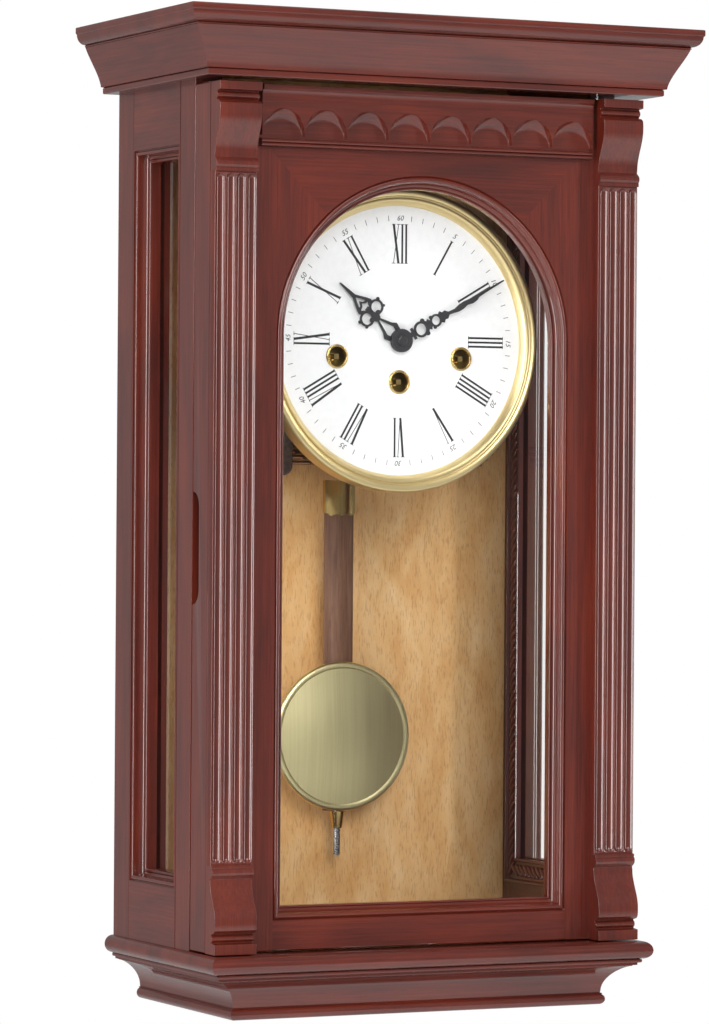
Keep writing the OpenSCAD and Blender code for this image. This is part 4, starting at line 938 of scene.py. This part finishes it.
STICK_LOW, STICK_HIGH = span("pendulum_stick")
FER_LOW, FER_HIGH = span("pendulum_ferrule")


def stick_plan(grow):
    """Plan of the stick: two flat sides and two bowed faces."""
    w, d, m = 10 + grow, STICK_HIGH.y + grow, STICK_LOW.y - grow
    pts = []
    for k in range(17):
        x = -w + 2 * w * k / 16
        pts.append((x, m + 3.0 * (x / w) ** 2))
    for k in range(17):
        x = w - 2 * w * k / 16
        pts.append((x, d - 3.0 * (x / w) ** 2))
    return pts


def upright(plan, low, high):
    """A plan extruded upwards. low may be a function of the place in the plan."""
    n = len(plan)
    v = [(x, y, low(x, y) if callable(low) else low) for x, y in plan] + [(x, y, high) for x, y in plan]
    f = [tuple(range(n)), tuple(reversed(range(n, 2 * n)))] + [(k, (k + 1) % n, n + (k + 1) % n, n + k) for k in range(n)]
    return v, f


v, f = upright(stick_plan(0), STICK_LOW.z, STICK_HIGH.z)
solid("pendulum_stick_bowed", v, f, WALNUT, "pendulum", nodes=["pendulum_stick"], smooth=40)
plan = stick_plan(0.7)
n = len(plan)
rows = [plan_row for plan_row in (0, 1)]
scallop = [(x, y, FER_LOW.z + 1.6 * abs(math.sin(math.pi * x / 7.1)) ** 0.8 + (0.0 if abs(x) < 9 else 0.6)) for x, y in plan]
inner = stick_plan(0.05)
v = scallop + [(x, y, FER_HIGH.z - 0.4) for x, y in plan] + [(x * 0.97, y, FER_HIGH.z) for x, y in plan]
v += [(x, y, s[2]) for (x, y), s in zip(inner, scallop)] + [(x, y, FER_HIGH.z - 8) for x, y in inner]
f = []
for ring_a, ring_b in ((0, 1), (1, 2), (4, 3), (3, 0)):
    f += [(ring_a * n + k, ring_a * n + (k + 1) % n, ring_b * n + (k + 1) % n, ring_b * n + k) for k in range(n)]
f += [tuple(range(2 * n, 3 * n)), tuple(range(4 * n, 5 * n))]
solid("pendulum_ferrule_scalloped", v, f, BRASS, "pendulum", nodes=["pendulum_ferrule"], smooth=40)

# ---------- CAD nodes that keep their shape ----------
PLAIN = {
    GLASS: ["side_glass", "door_glass"],
    # the movement parts behind the dial get brass darkened as painted shade
    SHADE_DARKENED_BRASS: ["front_plate", "back_plate", "plate_pillars", "suspension_post", "time_barrel", "strike_barrel",
                  "chime_barrel", "center_arbor", "minute_wheel", "hour_wheel", "escape_wheel", "chime_hammers"],
    BRASS: ["case_hinge_leaves", "door_hinge_leaves", "rating_nut", "time_arbor", "strike_arbor", "chime_arbor"],
    STEEL: ["hanger_plate", "hanger_screws", "anchor_and_crutch", "catch_plate", "pendulum_leader", "rating_rod"],
    BRONZE: ["chime_rods"],
    DIAL_WHITE: ["dial_plate"],
    MAGNET: ["catch_magnet"],
}
for mat, names in PLAIN.items():
    for name in names:
        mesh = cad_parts[name].data
        mesh.materials.clear()
        mesh.materials.append(mat)
soften("gong_block_cast", "gong_block", HAMMERTONE, "case", 1.8, segments=4)

# ---------- floor, light and camera ----------
def pale(name, code, shade):
    """A floor or backdrop that looks white straight on and keeps the shadow."""
    mat, tree = finish(name)
    place = put(tree, "ShaderNodeTexCoord").outputs["Object"]
    mottle = put(tree, "ShaderNodeTexNoise", inputs={"Vector": place, "Scale": 3.0}).outputs["Fac"]
    base = ramp(tree, mottle, [(0.3, shade), (0.7, code)])
    dull = put(tree, "ShaderNodeBsdfDiffuse", inputs={"Color": base})
    glow = put(tree, "ShaderNodeEmission", inputs={"Color": tint("#ffffff"), "Strength": 1.0})
    path = put(tree, "ShaderNodeLightPath")
    seen = put(tree, "ShaderNodeMath", {"operation": "MAXIMUM"}, {
        0: path.outputs["Is Camera Ray"], 1: path.outputs["Is Transmission Ray"]}).outputs[0]
    part = put(tree, "ShaderNodeMath", {"operation": "MULTIPLY"}, {0: seen, 1: 0.55}).outputs[0]
    both_ways = put(tree, "ShaderNodeMixShader", inputs={0: part, 1: dull.outputs[0], 2: glow.outputs[0]})
    put(tree, "ShaderNodeOutputMaterial", inputs={"Surface": both_ways.outputs[0]})
    return mat


floor_mesh = bpy.data.meshes.new("floor")
floor_mesh.from_pydata([(-5, -5, -1.35), (5, -5, -1.35), (5, 5, -1.35), (-5, 5, -1.35)], [], [(0, 1, 2, 3)])
floor_mesh.materials.append(pale("pale_floor", "#f4f4f4", "#f0f0f0"))
floor = bpy.data.objects.new("floor", floor_mesh)
scene.collection.objects.link(floor)

world = bpy.data.worlds.new("studio")
scene.world = world
world.use_nodes = True
tree = world.node_tree
tree.nodes.clear()
path = put(tree, "ShaderNodeLightPath")
seen = put(tree, "ShaderNodeMath", {"operation": "MAXIMUM"}, {
    0: path.outputs["Is Camera Ray"], 1: path.outputs["Is Transmission Ray"]}).outputs[0]
# reflections see a white studio behind the clock and a dimmer room in front of it
toward = put(tree, "ShaderNodeSeparateXYZ", inputs={
    "Vector": put(tree, "ShaderNodeTexCoord").outputs["Generated"]}).outputs["Y"]
room = put(tree, "ShaderNodeMapRange", {"interpolation_type": "SMOOTHSTEP"}, {
    "Value": toward, "From Min": -0.5, "From Max": 0.4, "To Min": 0.16, "To Max": 0.34}).outputs[0]
mirror = put(tree, "ShaderNodeMix", {"data_type": "FLOAT"}, {
    0: path.outputs["Is Glossy Ray"], 2: 0.3, 3: room}).outputs[0]
level = put(tree, "ShaderNodeMix", {"data_type": "FLOAT"}, {0: seen, 2: mirror, 3: 1.0}).outputs[0]
sky = put(tree, "ShaderNodeBackground", inputs={"Color": tint("#ffffff"), "Strength": level})
put(tree, "ShaderNodeOutputWorld", inputs={"Surface": sky.outputs[0]})


def lamp(name, place, aim, size, power, colour="#ffffff"):
    """A soft box at place, turned to aim at a point, both in metres."""
    light = bpy.data.lights.new(name, "AREA")
    light.shape = "RECTANGLE"
    light.size, light.size_y = size
    light.energy = power
    light.color = tint(colour)[:3]
    obj = bpy.data.objects.new(name, light)
    scene.collection.objects.link(obj)
    obj.location = place
    obj.rotation_euler = (Vector(aim) - Vector(place)).to_track_quat("-Z", "Y").to_euler()
    return obj


lamp("left_strip", (-2.3, -1.1, 0.0), (0, -0.1, -0.25), (0.6, 2.4), 60).data.diffuse_factor = 0.3
lamp("front_left_box", (-0.6, -3.4, 1.0), (0, -0.1, -0.25), (1.8, 1.6), 74)
lamp("right_box", (2.4, -1.7, 0.2), (0, -0.1, -0.25), (0.3, 2.2), 30).data.diffuse_factor = 0.6
lamp("top_box", (0.0, -1.2, 2.0), (0, -0.1, -0.2), (1.6, 0.8), 14)

camera = bpy.data.cameras.new("camera")
camera.lens = 166.05
camera.shift_x = 0.0003
camera.shift_y = -0.01177
camera.clip_end = 50
view = bpy.data.objects.new("camera", camera)
scene.collection.objects.link(view)
heading, roll = math.radians(-25.69), math.radians(0.4)
right = Vector((math.cos(heading), math.sin(heading), 0))
ahead = Vector((-math.sin(heading), math.cos(heading), 0))
up = Vector((0, 0, 1))
right, up = right * math.cos(roll) + up * math.sin(roll), up * math.cos(roll) - right * math.sin(roll)
turn = Matrix((right, up, -ahead)).transposed().to_4x4()
view.matrix_world = Matrix.Translation((-1.30145, -2.74996, -0.25039)) @ turn
scene.camera = view
scene.view_settings.view_transform = "Standard"
